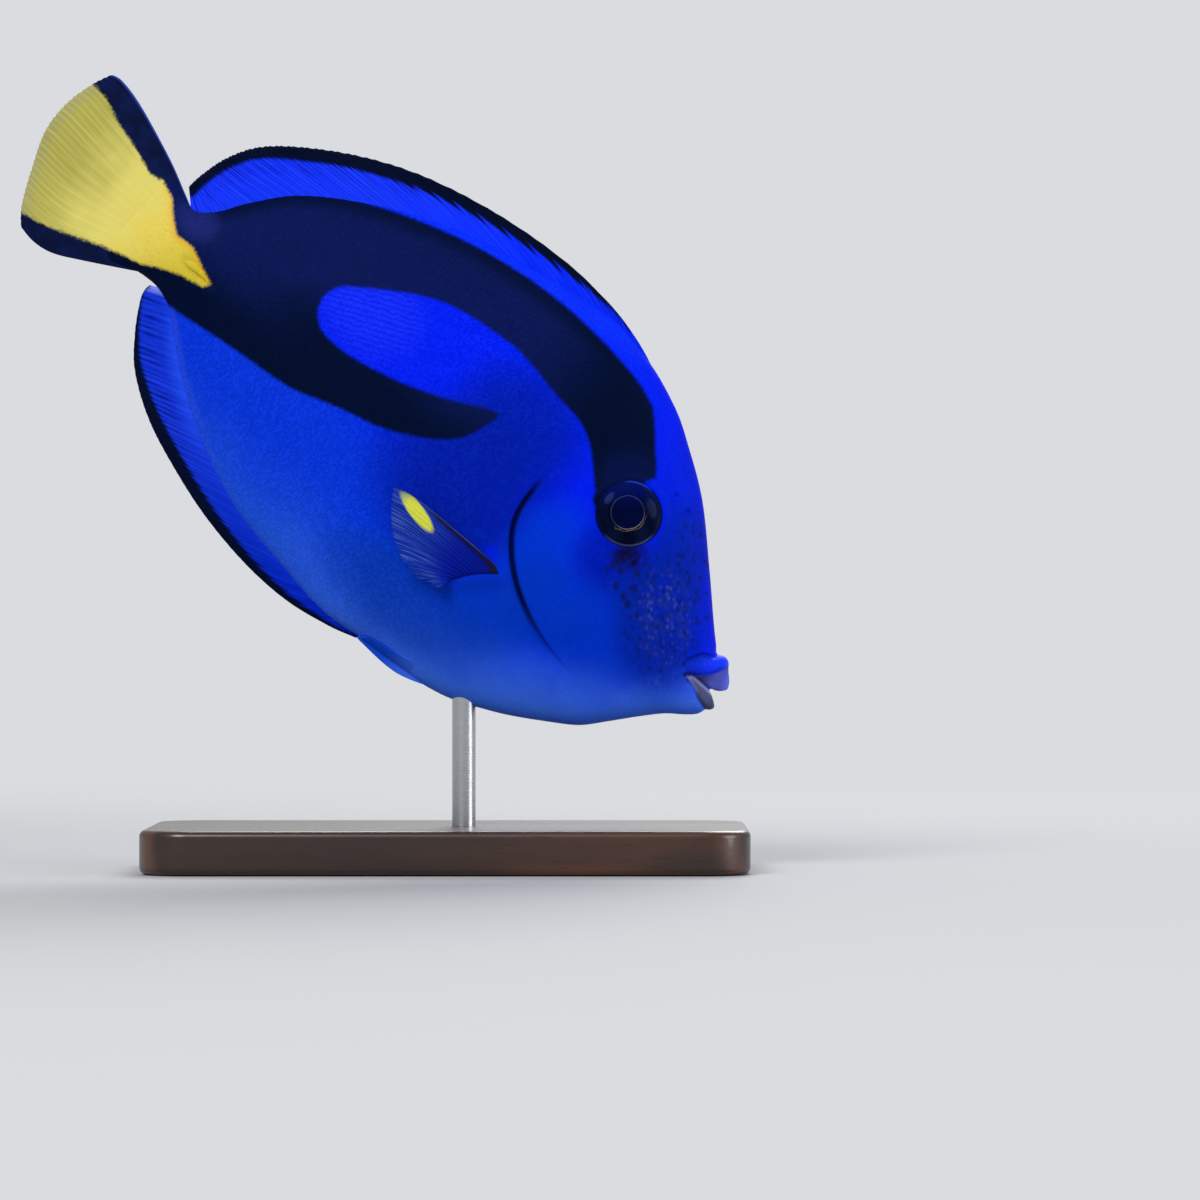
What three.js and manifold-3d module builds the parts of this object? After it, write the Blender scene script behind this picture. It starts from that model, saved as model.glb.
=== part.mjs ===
import * as THREE from 'three';
import { mergeVertices } from 'three/addons/utils/BufferGeometryUtils.js';
import Module from 'manifold-3d';

// A regal blue tang as a still, life-size model on a small display stand.
// Millimetres, +Z up. The fish heads towards +X with its nose down, and its right side faces -Y.
// The origin is the middle of the underside of the stand's base.
//
// The fish is drawn level first, in its own frame: back is the distance behind the front of the snout,
// up is the height above it and side is positive on the fish's left. The fish group then tips it nose down.

const wasm = await Module();
wasm.setup();

// Pose
const noseDown = THREE.MathUtils.degToRad( 40 );
const snoutPlace = new THREE.Vector3( 52, 0, 34.6 );

// Clearance between pieces that touch
const gap = 0.3;

// Outlines of the body without its fins, as [ back, up ]
const topLine = through( [
	[ - 1.2, - 2.6 ], [ - 0.9, - 0.7 ], [ - 0.3, 0.5 ], [ 0.9, 1.7 ], [ 2.4, 3 ], [ 3.6, 3.4 ], [ 4.7, 2.9 ],
	[ 6, 4.2 ], [ 8, 6.1 ], [ 16, 14.2 ], [ 26, 23.8 ], [ 33, 28.8 ], [ 40, 33.1 ], [ 50, 36.8 ], [ 59, 38.4 ],
	[ 70, 37.3 ], [ 80, 35.6 ], [ 90, 33.4 ], [ 100, 30 ], [ 110, 25 ], [ 120, 18.2 ], [ 126, 11.2 ],
	[ 130, 5.6 ], [ 133, 3.8 ], [ 134, 4 ]
] );
const bottomLine = through( [
	[ - 1.2, - 5.3 ], [ - 0.9, - 5.8 ], [ - 0.3, - 6.2 ], [ 0.4, - 7.8 ], [ 2.2, - 9.5 ], [ 5, - 11.6 ],
	[ 8, - 14.7 ], [ 12, - 19.3 ], [ 16, - 23.7 ], [ 20, - 26.4 ], [ 30, - 32.1 ], [ 40, - 36 ], [ 46, - 36.9 ],
	[ 55, - 37.1 ], [ 65, - 38.2 ], [ 79, - 36.4 ], [ 89, - 34.6 ], [ 99, - 31 ], [ 106, - 27.3 ],
	[ 113, - 22.9 ], [ 119, - 18.2 ], [ 123, - 14.8 ], [ 126, - 12.6 ], [ 130, - 11.6 ], [ 134, - 11.9 ]
] );

// The level at which the body is widest, half its width there, and how sharply it narrows above and below
const middleLine = through( [
	[ - 1.2, - 3.8 ], [ 8, - 2.6 ], [ 24, - 0.5 ], [ 46, 1.5 ], [ 84, 1.5 ], [ 134, - 4.2 ]
] );
const halfWidth = through( [
	[ - 1.2, 0.9 ], [ - 0.9, 1.6 ], [ - 0.3, 2.3 ], [ 0.9, 3 ], [ 3, 3.7 ], [ 8, 4.9 ], [ 16, 6.9 ],
	[ 26, 8.7 ], [ 36, 9.9 ], [ 50, 10.8 ], [ 66, 10.3 ], [ 84, 8.9 ], [ 100, 7 ], [ 116, 4.9 ],
	[ 126, 3.8 ], [ 134, 2.5 ]
] );
const upperWedge = through( [ [ 0, 1 ], [ 30, 1.15 ], [ 55, 1.3 ], [ 110, 1.25 ], [ 134, 1 ] ] );
const lowerWedge = through( [ [ 0, 1 ], [ 60, 1.1 ], [ 110, 1.15 ], [ 134, 1 ] ] );

// Sections of the body: where they lie, and how many points go round each
const sectionPlaces = [
	- 1.2, - 0.9, - 0.3, 0.4, 1.4, 2.4, 3.6, 4.7, 6.2, 8, 11, 14.5, 18, 22, 26, 30, 34, 38, 42, 46, 50, 55,
	60, 66, 72, 78, 84, 90, 95, 100, 105, 110, 115, 120, 124, 128, 131, 134
];
const pointsRound = 28;

// Roughly the middle of each piece of the body, as [ back, up ]. A piece below the crumb volume is left out.
const bodyPieces = {
	head: [ 28, 5 ],
	upperJaw: [ 3, 0 ],
	lowerJaw: [ 3, - 7.5 ],
	trunk: [ 75, 0 ],
	tailStem: [ 127, - 3 ]
};
const crumbVolume = 1;

// The gill cover stands this proud of the flank, most of all near its rear edge
const gillCoverRise = 0.6;
const gillCoverFront = 22;
const gillCoverRear = 46;
const gillCoverMiddle = - 3;
const gillCoverReach = 13;

// The lips are this much narrower than the face behind them
const lipStep = 0.25;

// Lines along which the body is parted, as [ back, up ]
const gillLine = [
	[ 44, 44 ], [ 46.5, 24 ], [ 50.4, 9 ], [ 50.7, 5 ], [ 50.4, 0.6 ], [ 49.1, - 3.3 ], [ 46.3, - 7 ],
	[ 42.4, - 10.6 ], [ 38, - 13.3 ], [ 33, - 15.4 ], [ 28, - 16.7 ], [ 23.5, - 18.5 ], [ 19.5, - 22 ],
	[ 16, - 31 ]
];
const tailLine = [ [ 119.5, 30 ], [ 118, 8 ], [ 117.2, - 4.5 ], [ 118, - 14 ], [ 119.5, - 30 ] ];
const lipLine = [
	[ 4.1, 8 ], [ 4.5, 3.4 ], [ 5, 2.3 ], [ 7, 1 ], [ 8.3, - 1.2 ], [ 7.9, - 3.2 ], [ 7, - 5 ], [ 6.3, - 9 ],
	[ 5.6, - 20 ]
];
const mouthLine = [ [ 1.2, - 2.9 ], [ 3.2, - 3 ], [ 5.8, - 3 ], [ 6.8, - 3.9 ], [ 7.9, - 4.4 ] ];
const mouthOpening = [
	[ 1.7, - 2.95 ], [ 0.4, - 2.2 ], [ - 0.2, - 1.8 ], [ - 0.75, - 1.1 ], [ - 3, 0.5 ],
	[ - 3, - 5.6 ], [ - 1, - 4.7 ], [ - 0.3, - 4.15 ], [ 0.4, - 3.7 ]
];

// Eyes: place of the middle, radii along, across and up, and how far the middle is sunk below the skin
const eyePlace = [ 34.2, 12.4 ];
const eyeRadii = new THREE.Vector3( 6.5, 3, 6.4 );
const eyeSink = 0.9;
const eyeRimRadius = 6.9;
const eyeRimThickness = 0.75;
const eyeRimSink = 0.35;

// Nostrils: a large and a small one on each side, each a pit in a low ring
const nostrils = [
	{ place: [ 29.6, 20.6 ], radius: 0.6 },
	{ place: [ 26, 19.9 ], radius: 0.5 }
];
const nostrilRimThickness = 0.3;
const nostrilDepth = 1;
const nostrilTaper = 0.7;

// Fold-out spine on each side of the tail stem, lying forward against it
const tailSpinePlace = [ 124.4, - 4.6 ];
const tailSpineLength = 6.5;
const tailSpineHeight = 1.8;
const tailSpineRise = 0.9;
const tailSpineProfile = [
	[ 0, - 0.5 ], [ 0.34, - 0.46 ], [ 0.5, - 0.34 ], [ 0.42, - 0.08 ], [ 0.18, 0.3 ], [ 0, 0.5 ]
];

// Fins: edges as [ back, up ], counts of rays, half thickness of the membrane at its root and its edge,
// and how far a ray stands proud of it at its root and its tip
const membraneAtRoot = 0.42;
const membraneAtEdge = 0.27;
const rayRiseAtRoot = 0.4;
const rayRiseAtTip = 0.12;
const rayShare = 0.27;

const dorsalFin = {
	root: [
		[ 46, 33.2 ], [ 52, 35.4 ], [ 60, 36.6 ], [ 70, 36 ], [ 80, 34.3 ], [ 90, 32 ], [ 100, 28.5 ],
		[ 110, 23.5 ], [ 120, 16.4 ], [ 132.4, 2.6 ]
	],
	edge: [
		[ 46.3, 35.2 ], [ 50, 36.9 ], [ 53.4, 38.2 ], [ 57, 39.2 ], [ 62, 40.2 ], [ 72, 41 ], [ 84, 40.3 ],
		[ 96, 38.3 ], [ 107, 35.2 ], [ 117, 30.7 ], [ 126, 25 ], [ 131.5, 20.2 ], [ 134.6, 14.8 ], [ 136, 10 ],
		[ 136.4, 6.5 ]
	],
	rays: 29,
	lean: 0.2,
	rows: [ 0, 0.4, 0.75, 1 ]
};
const analFin = {
	root: [
		[ 57.5, - 35.4 ], [ 68, - 36.2 ], [ 80, - 34.6 ], [ 90, - 32.6 ], [ 99, - 29.2 ], [ 107, - 24.8 ],
		[ 115, - 19.4 ], [ 126.6, - 10.6 ]
	],
	edge: [
		[ 58.4, - 38 ], [ 64, - 39.6 ], [ 73, - 41 ], [ 83, - 40.7 ], [ 94, - 38.8 ], [ 104, - 35.8 ],
		[ 114, - 31.7 ], [ 122, - 26.4 ], [ 126.5, - 21 ], [ 129.5, - 16 ], [ 130.3, - 13.8 ], [ 130.2, - 12.3 ]
	],
	rays: 22,
	lean: 0.15,
	rows: [ 0, 0.4, 0.75, 1 ]
};
const caudalFin = {
	root: [ [ 131.4, 2.6 ], [ 131.8, - 3.9 ], [ 131.4, - 10.6 ] ],
	upper: [
		[ 131.4, 2.6 ], [ 136.8, 5.4 ], [ 142.5, 8.2 ], [ 152.7, 12.2 ], [ 158.5, 13.6 ], [ 160.9, 13.2 ]
	],
	edge: [
		[ 160.9, 13.2 ], [ 162.6, 9.4 ], [ 163.9, 3.6 ], [ 163.6, - 3 ], [ 161, - 10 ], [ 158, - 16.3 ],
		[ 155.6, - 19.4 ]
	],
	lower: [ [ 131.4, - 10.6 ], [ 142.7, - 16.8 ], [ 148, - 19.4 ], [ 152, - 20 ], [ 155.6, - 19.4 ] ],
	rays: 17,
	rows: [ 0, 0.25, 0.5, 0.72, 0.88, 1 ]
};
const pectoralFin = {
	root: [ [ 45.6, - 12.2 ], [ 48.6, - 15.1 ], [ 51.6, - 18.2 ] ],
	upper: [ [ 45.6, - 12.2 ], [ 48, - 10.9 ], [ 57, - 10.7 ], [ 66, - 10.8 ], [ 70.9, - 11.9 ] ],
	edge: [
		[ 70.9, - 11.9 ], [ 69.4, - 14.4 ], [ 66, - 17.9 ], [ 61, - 21 ], [ 56.5, - 22 ], [ 52.9, - 21.6 ]
	],
	lower: [ [ 51.6, - 18.2 ], [ 52.1, - 20 ], [ 52.9, - 21.6 ] ],
	rays: 15,
	rows: [ 0, 0.14, 0.55, 1 ],
	out: [ [ 0, - 1.6 ], [ 0.12, 0.9 ], [ 1, 4.5 ] ]
};
const pelvicFin = {
	root: [ [ 41.6, - 32.8 ], [ 41.8, - 36 ] ],
	upper: [ [ 41.6, - 32.8 ], [ 48, - 34.5 ], [ 56.5, - 36.6 ] ],
	edge: [ [ 56.5, - 36.6 ], [ 57.2, - 37.6 ] ],
	lower: [ [ 41.8, - 36 ], [ 48.5, - 38 ], [ 57.2, - 37.6 ] ],
	rays: 4,
	rows: [ 0, 0.25, 0.5, 0.75, 1 ],
	upperSide: [ 5, 1.7 ],
	lowerSide: [ 1.2, 0.8 ],
	slant: 50
};

// Stand
const baseLength = 112;
const baseWidth = 62;
const baseHeight = 8;
const baseCorner = 9;
const baseEdge = 1.2;
const rodRadius = 2.2;
const rodPlace = 3;
const rodTop = 40;

// How finely round things are drawn
const eyeballAround = 20;
const eyeballRows = 12;
const eyeRimAround = 24;
const eyeRimRound = 5;
const nostrilAround = 8;
const nostrilRimRound = 4;
const spineAround = 10;
const rodAround = 20;
const cornerSegments = 4;
const edgeSegments = 2;

// Colours
const look = {
	skin: new THREE.MeshStandardMaterial( { color: 0x123fd0, roughness: 0.42, metalness: 0 } ),
	lips: new THREE.MeshStandardMaterial( { color: 0x7f86d8, roughness: 0.45, metalness: 0 } ),
	eye: new THREE.MeshStandardMaterial( { color: 0x0c0f2c, roughness: 0.12, metalness: 0 } ),
	blueFin: new THREE.MeshStandardMaterial( { color: 0x1d3fe0, roughness: 0.5, metalness: 0 } ),
	yellowFin: new THREE.MeshStandardMaterial( { color: 0xe2d350, roughness: 0.5, metalness: 0 } ),
	paleFin: new THREE.MeshStandardMaterial( { color: 0x4a5bc0, roughness: 0.5, metalness: 0 } ),
	wood: new THREE.MeshStandardMaterial( { color: 0x2b1a12, roughness: 0.35, metalness: 0 } ),
	steel: new THREE.MeshStandardMaterial( { color: 0xb9bcc0, roughness: 0.3, metalness: 1 } )
};

const sideways = new THREE.Vector3( 0, 1, 0 );

// A smooth function through points, which turns only where the points turn.
function through( points ) {

	const steepness = points.slice( 1 ).map( ( [ x, y ], i ) => {

		const [ beforeX, beforeY ] = points[ i ];
		return ( y - beforeY ) / ( x - beforeX );

	} );
	const tangents = points.map( ( point, i ) => {

		const before = steepness[ Math.max( i - 1, 0 ) ];
		const after = steepness[ Math.min( i, steepness.length - 1 ) ];
		return before * after > 0 ? 2 * before * after / ( before + after ) : 0;

	} );

	return ( place ) => {

		const x = THREE.MathUtils.clamp( place, points[ 0 ][ 0 ], points.at( - 1 )[ 0 ] );
		const i = Math.max( 0, points.findLastIndex( ( point, n ) => point[ 0 ] <= x && n < points.length - 1 ) );
		const span = points[ i + 1 ][ 0 ] - points[ i ][ 0 ];
		const t = ( x - points[ i ][ 0 ] ) / span;
		const ease = t * t * ( 3 - 2 * t );
		const fromStart = t * ( 1 - t ) * ( 1 - t ) * span * tangents[ i ];
		const fromEnd = t * t * ( t - 1 ) * span * tangents[ i + 1 ];
		return points[ i ][ 1 ] * ( 1 - ease ) + points[ i + 1 ][ 1 ] * ease + fromStart + fromEnd;

	};

}

// A smooth curve through points given as [ back, up ], by its share of length.
function curve( points ) {

	const spline = new THREE.SplineCurve( points.map( ( [ back, up ] ) => new THREE.Vector2( back, up ) ) );
	return ( share ) => spline.getPointAt( share );

}

// A place in the fish's own frame.
function at( back, side, up ) {

	return new THREE.Vector3( - back, side, up );

}

// How far the gill cover stands proud of the flank at a place.
function gillCover( back, up ) {

	const lengthwise = THREE.MathUtils.smoothstep( back, gillCoverFront, gillCoverRear );
	const upright = Math.exp( - ( ( ( up - gillCoverMiddle ) / gillCoverReach ) ** 2 ) );
	return gillCoverRise * lengthwise * upright;

}

// A point of the body's surface. turn goes round the section: 0 on the left flank, a quarter turn at the top.
function skinPoint( back, turn, grow, swell ) {

	const rise = Math.sin( turn );
	const middle = middleLine( back );
	const reach = rise > 0 ? topLine( back ) - middle : middle - bottomLine( back );
	const up = middle + ( reach + grow ) * rise;
	const wedge = rise > 0 ? upperWedge( back ) : lowerWedge( back );
	const level = Math.cos( turn );
	const share = Math.abs( level ) < 1e-9 ? 0 : Math.sign( level ) * Math.abs( level ) ** wedge;
	return at( back, share * ( halfWidth( back ) + grow + swell( back, up ) ), up );

}

// Half the body's width at a place on its flank.
function flank( back, up, swell ) {

	const middle = middleLine( back );
	const reach = up > middle ? topLine( back ) - middle : middle - bottomLine( back );
	const rise = THREE.MathUtils.clamp( ( up - middle ) / reach, - 1, 1 );
	return skinPoint( back, Math.asin( rise ), 0, swell ).y;

}

// A place on the left flank with the Y axis turned outwards, as a matrix. lift is the height above the skin.
function onFlank( [ back, up ], lift ) {

	const step = 0.5;
	const width = ( x, y ) => flank( x, y, gillCover );
	const lengthwise = ( width( back + step, up ) - width( back - step, up ) ) / ( 2 * step );
	const upright = ( width( back, up + step ) - width( back, up - step ) ) / ( 2 * step );
	const outwards = new THREE.Vector3( lengthwise, 1, - upright ).normalize();
	const turn = new THREE.Quaternion().setFromUnitVectors( sideways, outwards );
	const place = at( back, width( back, up ), up ).addScaledVector( outwards, lift );
	return new THREE.Matrix4().compose( place, turn, new THREE.Vector3( 1, 1, 1 ) );

}

// The same matrix on the other flank.
function mirrored( matrix ) {

	const flip = new THREE.Matrix4().makeScale( 1, - 1, 1 );
	return flip.clone().multiply( matrix ).multiply( flip );

}

// A geometry of triangles from points and faces, with its faces pointing outwards.
function closedGeometry( points, faces ) {

	const geometry = new THREE.BufferGeometry().setFromPoints( points );
	const volume = faces.reduce( ( sum, [ a, b, c ] ) =>
		sum + points[ a ].dot( new THREE.Vector3().crossVectors( points[ b ], points[ c ] ) ), 0 );
	geometry.setIndex( faces.flatMap( ( [ a, b, c ] ) => volume > 0 ? [ a, b, c ] : [ a, c, b ] ) );
	return geometry;

}

// A closed skin over rings of points, with a fan at each end.
function loft( rings ) {

	const around = rings[ 0 ].length;
	const points = rings.flat();
	const faces = [];
	for ( let i = 0; i < rings.length - 1; i ++ ) {

		for ( let j = 0; j < around; j ++ ) {

			const a = i * around + j;
			const b = i * around + ( j + 1 ) % around;
			faces.push( [ a, a + around, b + around ], [ a, b + around, b ] );

		}

	}

	const ends = [ rings[ 0 ], rings.at( - 1 ) ];
	ends.forEach( ( ring, end ) => {

		const first = end * ( rings.length - 1 ) * around;
		const sum = ring.reduce( ( total, point ) => total.add( point ), new THREE.Vector3() );
		points.push( sum.divideScalar( around ) );
		for ( let j = 0; j < around; j ++ ) {

			const pair = [ first + j, first + ( j + 1 ) % around ];
			faces.push( [ points.length - 1, pair[ end ], pair[ 1 - end ] ] );

		}

	} );

	return closedGeometry( points, faces );

}

// The whole body, grown outwards by some millimetres and swollen by a function of place.
function bodyGeometry( grow, swell ) {

	return loft( sectionPlaces.map( ( back, i ) => {

		const last = sectionPlaces.length - 1;
		const place = back + ( i === last ? grow : 0 ) - ( i === 0 ? grow : 0 );
		return Array.from( { length: pointsRound }, ( _, j ) => {

			const point = skinPoint( back, j / pointsRound * Math.PI * 2, grow, swell );
			return point.setX( - place );

		} );

	} ) );

}

// Turns a geometry into a solid that can be cut and joined, and back.
function solid( geometry ) {

	const bare = geometry.clone();
	bare.deleteAttribute( 'normal' );
	bare.deleteAttribute( 'uv' );
	const merged = mergeVertices( bare, 1e-4 );
	return new wasm.Manifold( new wasm.Mesh( {
		numProp: 3,
		vertProperties: merged.attributes.position.array,
		triVerts: new Uint32Array( merged.index.array )
	} ) );

}

function geometryOf( shape ) {

	const { vertProperties, triVerts } = shape.getMesh();
	const geometry = new THREE.BufferGeometry();
	geometry.setAttribute( 'position', new THREE.BufferAttribute( vertProperties, 3 ) );
	geometry.setIndex( new THREE.BufferAttribute( triVerts, 1 ) );
	geometry.computeVertexNormals();
	return geometry;

}

// The piece of a cut solid that lies nearest to a place, or the largest one.
function pieceNear( shape, [ back, up ] ) {

	const distance = ( piece ) => {

		const box = piece.boundingBox();
		return Math.hypot( ( box.min[ 0 ] + box.max[ 0 ] ) / 2 + back, ( box.min[ 2 ] + box.max[ 2 ] ) / 2 - up );

	};

	const sizeable = shape.decompose().filter( ( piece ) => piece.volume() > crumbVolume );
	return sizeable.sort( ( a, b ) => distance( a ) - distance( b ) )[ 0 ];

}

function largest( shape ) {

	return shape.decompose().sort( ( a, b ) => b.volume() - a.volume() )[ 0 ];

}

// A prism across the whole fish over an outline given as [ back, up ].
function prism( outline ) {

	const reach = 40;
	const shape = new THREE.Shape( outline.map( ( [ back, up ] ) => new THREE.Vector2( - back, up ) ) );
	const geometry = new THREE.ExtrudeGeometry( shape, { depth: reach, bevelEnabled: false } );
	return solid( geometry.rotateX( Math.PI / 2 ).translate( 0, reach / 2, 0 ) );

}

// A thin upright wall along a line, as wide as the gap between two pieces.
function wall( line ) {

	const points = line.map( ( [ back, up ] ) => new THREE.Vector2( back, up ) );
	const edge = ( offset ) => points.map( ( point, i ) => {

		const before = points[ Math.max( i - 1, 0 ) ];
		const after = points[ Math.min( i + 1, points.length - 1 ) ];
		const along = after.clone().sub( before ).normalize();
		return [ point.x - along.y * offset, point.y + along.x * offset ];

	} );
	return prism( [ ...edge( gap / 2 ), ...edge( - gap / 2 ).reverse() ] );

}

// Places across a fin that has rays: the crest of each ray and its two feet.
function rayColumns( count ) {

	const spacing = 1 / ( count - 1 );
	const columns = Array.from( { length: count }, ( _, i ) => [
		{ share: ( i - rayShare ) * spacing, rise: 0 },
		{ share: i * spacing, rise: 1 },
		{ share: ( i + rayShare ) * spacing, rise: 0 }
	] ).flat();
	return columns.slice( 1, - 1 );

}

// A closed fin of membrane and rays. middle gives its middle surface, and its thickness lies along across.
function finGeometry( fin, middle, across ) {

	const columns = rayColumns( fin.rays );
	const rows = fin.rows;
	const points = [];
	for ( const face of [ 1, - 1 ] ) {

		for ( const column of columns ) {

			for ( const row of rows ) {

				const membrane = THREE.MathUtils.lerp( membraneAtRoot, membraneAtEdge, row );
				const ray = column.rise * THREE.MathUtils.lerp( rayRiseAtRoot, rayRiseAtTip, row );
				points.push( middle( column.share, row ).addScaledVector( across, face * ( membrane + ray ) ) );

			}

		}

	}

	const index = ( face, i, j ) => ( face * columns.length + i ) * rows.length + j;
	const faces = [];
	for ( let i = 0; i < columns.length - 1; i ++ ) {

		for ( let j = 0; j < rows.length - 1; j ++ ) {

			const corners = [ [ i, j ], [ i + 1, j ], [ i + 1, j + 1 ], [ i, j + 1 ] ];
			const left = corners.map( ( corner ) => index( 0, ...corner ) );
			const right = corners.map( ( corner ) => index( 1, ...corner ) );
			faces.push( [ left[ 0 ], left[ 1 ], left[ 2 ] ], [ left[ 0 ], left[ 2 ], left[ 3 ] ] );
			faces.push( [ right[ 0 ], right[ 2 ], right[ 1 ] ], [ right[ 0 ], right[ 3 ], right[ 2 ] ] );

		}

	}

	const lastColumn = columns.length - 1;
	const lastRow = rows.length - 1;
	const border = [
		...columns.slice( 0, - 1 ).map( ( _, i ) => [ [ i + 1, 0 ], [ i, 0 ] ] ),
		...rows.slice( 0, - 1 ).map( ( _, j ) => [ [ 0, j ], [ 0, j + 1 ] ] ),
		...columns.slice( 0, - 1 ).map( ( _, i ) => [ [ i, lastRow ], [ i + 1, lastRow ] ] ),
		...rows.slice( 0, - 1 ).map( ( _, j ) => [ [ lastColumn, j + 1 ], [ lastColumn, j ] ] )
	];
	for ( const [ from, to ] of border ) {

		const [ a, b ] = [ index( 0, ...from ), index( 0, ...to ) ];
		const [ c, d ] = [ index( 1, ...to ), index( 1, ...from ) ];
		faces.push( [ a, b, c ], [ a, c, d ] );

	}

	return closedGeometry( points, faces );

}

// The middle of a fin that is held by four edges: root, outer edge and the two rays that bound it.
function fannedPlace( fin ) {

	const root = curve( fin.root );
	const edge = curve( fin.edge );
	const upper = curve( fin.upper );
	const lower = curve( fin.lower );
	return ( share, row ) => {

		const across = upper( row ).lerp( lower( row ), share );
		const along = root( share ).lerp( edge( share ), row );
		const corners = root( 0 ).lerp( root( 1 ), share ).lerp( edge( 0 ).lerp( edge( 1 ), share ), row );
		return across.add( along ).sub( corners );

	};

}

const noSwell = () => 0;
const wholeBody = solid( bodyGeometry( 0, noSwell ) );
const grownBody = solid( bodyGeometry( gap, noSwell ) );

// Head, with the gill covers, eye sockets and nostrils
function headGeometry() {

	const whole = solid( bodyGeometry( 0, gillCover ) );
	const parted = whole.subtract( wall( gillLine ) ).subtract( wall( lipLine ) );
	let head = pieceNear( parted, bodyPieces.head );
	const rim = ring( eyeRimRadius, eyeRimThickness, eyeRimRound, eyeRimAround );
	const eyeball = eyeballGeometry( gap );
	for ( const side of [ ( matrix ) => matrix, mirrored ] ) {

		head = head.add( solid( rim.clone().applyMatrix4( side( onFlank( eyePlace, - eyeRimSink ) ) ) ) );
		head = head.subtract( solid( eyeball.clone().applyMatrix4( side( onFlank( eyePlace, - eyeSink ) ) ) ) );
		for ( const { place, radius } of nostrils ) {

			const matrix = side( onFlank( place, 0 ) );
			const rimRadius = radius + nostrilRimThickness;
			const nostrilRim = ring( rimRadius, nostrilRimThickness, nostrilRimRound, nostrilAround );
			const floorRadius = radius * nostrilTaper;
			const pit = new THREE.CylinderGeometry( radius, floorRadius, 2 * nostrilDepth, nostrilAround );
			head = head.add( solid( nostrilRim.applyMatrix4( matrix ) ) );
			head = head.subtract( solid( pit.applyMatrix4( matrix ) ) );

		}

	}

	return geometryOf( largest( head ) );

}

// Jaws, which end in the lips and part at the mouth
function jawGeometry( middle ) {

	const narrower = solid( bodyGeometry( 0, () => - lipStep ) );
	const parted = narrower.subtract( wall( lipLine ) ).subtract( wall( mouthLine ) );
	return geometryOf( pieceNear( parted.subtract( prism( mouthOpening ) ), middle ) );

}

function trunkGeometry() {

	const parted = wholeBody.subtract( wall( gillLine ) ).subtract( wall( tailLine ) );
	return geometryOf( pieceNear( parted, bodyPieces.trunk ) );

}

// Tail stem with the folded spine on each side
function tailStemGeometry() {

	let stem = pieceNear( wholeBody.subtract( wall( tailLine ) ), bodyPieces.tailStem );
	const profile = tailSpineProfile.map( ( [ radius, along ] ) => new THREE.Vector2( radius, along ) );
	const spine = new THREE.LatheGeometry( profile, spineAround ).rotateZ( - Math.PI / 2 );
	spine.scale( tailSpineLength, 2 * tailSpineRise, tailSpineHeight );
	for ( const side of [ ( matrix ) => matrix, mirrored ] ) {

		stem = stem.add( solid( spine.clone().applyMatrix4( side( onFlank( tailSpinePlace, 0 ) ) ) ) );

	}

	return geometryOf( largest( stem ) );

}

// A flattened ball, grown outwards by some millimetres
function eyeballGeometry( grow ) {

	const radii = eyeRadii.clone().addScalar( grow );
	const ball = new THREE.SphereGeometry( 1, eyeballAround, eyeballRows );
	return ball.rotateX( Math.PI / 2 ).scale( radii.x, radii.y, radii.z );

}

// A ring that lies flat on the flank when the Y axis points outwards
function ring( radius, thickness, round, around ) {

	return new THREE.TorusGeometry( radius, thickness, round, around ).rotateX( Math.PI / 2 );

}

// A fin cut clear of the body that it grows from
function rooted( geometry ) {

	return geometryOf( largest( solid( geometry ).subtract( grownBody ) ) );

}

// A fin along the back or belly. Its rays lean back, most of all near its front.
function leaningFinGeometry( fin ) {

	const root = curve( fin.root );
	const edge = curve( fin.edge );
	return rooted( finGeometry( fin, ( share, row ) => {

		const tip = edge( share + fin.lean * Math.sin( Math.PI * Math.sqrt( share ) ) );
		const place = root( share ).lerp( tip, row );
		return at( place.x, 0, place.y );

	}, sideways ) );

}

function caudalFinGeometry() {

	const place = fannedPlace( caudalFin );
	return rooted( finGeometry( caudalFin, ( share, row ) => {

		const { x, y } = place( share, row );
		return at( x, 0, y );

	}, sideways ) );

}

// The fin leaves the flank at its root and spreads away from it towards its edge.
function pectoralFinGeometry( side ) {

	const place = fannedPlace( pectoralFin );
	const out = through( pectoralFin.out );
	return rooted( finGeometry( pectoralFin, ( share, row ) => {

		const { x, y } = place( share, row );
		return at( x, side * ( flank( x, y, noSwell ) + out( row ) ), y );

	}, sideways ) );

}

// The fin lies folded back along the belly, slanting from the flank to the keel.
function pelvicFinGeometry( side ) {

	const place = fannedPlace( pelvicFin );
	const slant = THREE.MathUtils.degToRad( pelvicFin.slant );
	const across = new THREE.Vector3( 0, side * Math.cos( slant ), - Math.sin( slant ) );
	return rooted( finGeometry( pelvicFin, ( share, row ) => {

		const { x, y } = place( share, row );
		const upperSide = THREE.MathUtils.lerp( ...pelvicFin.upperSide, row );
		const lowerSide = THREE.MathUtils.lerp( ...pelvicFin.lowerSide, row );
		return at( x, side * THREE.MathUtils.lerp( upperSide, lowerSide, share ), y );

	}, across ) );

}

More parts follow.
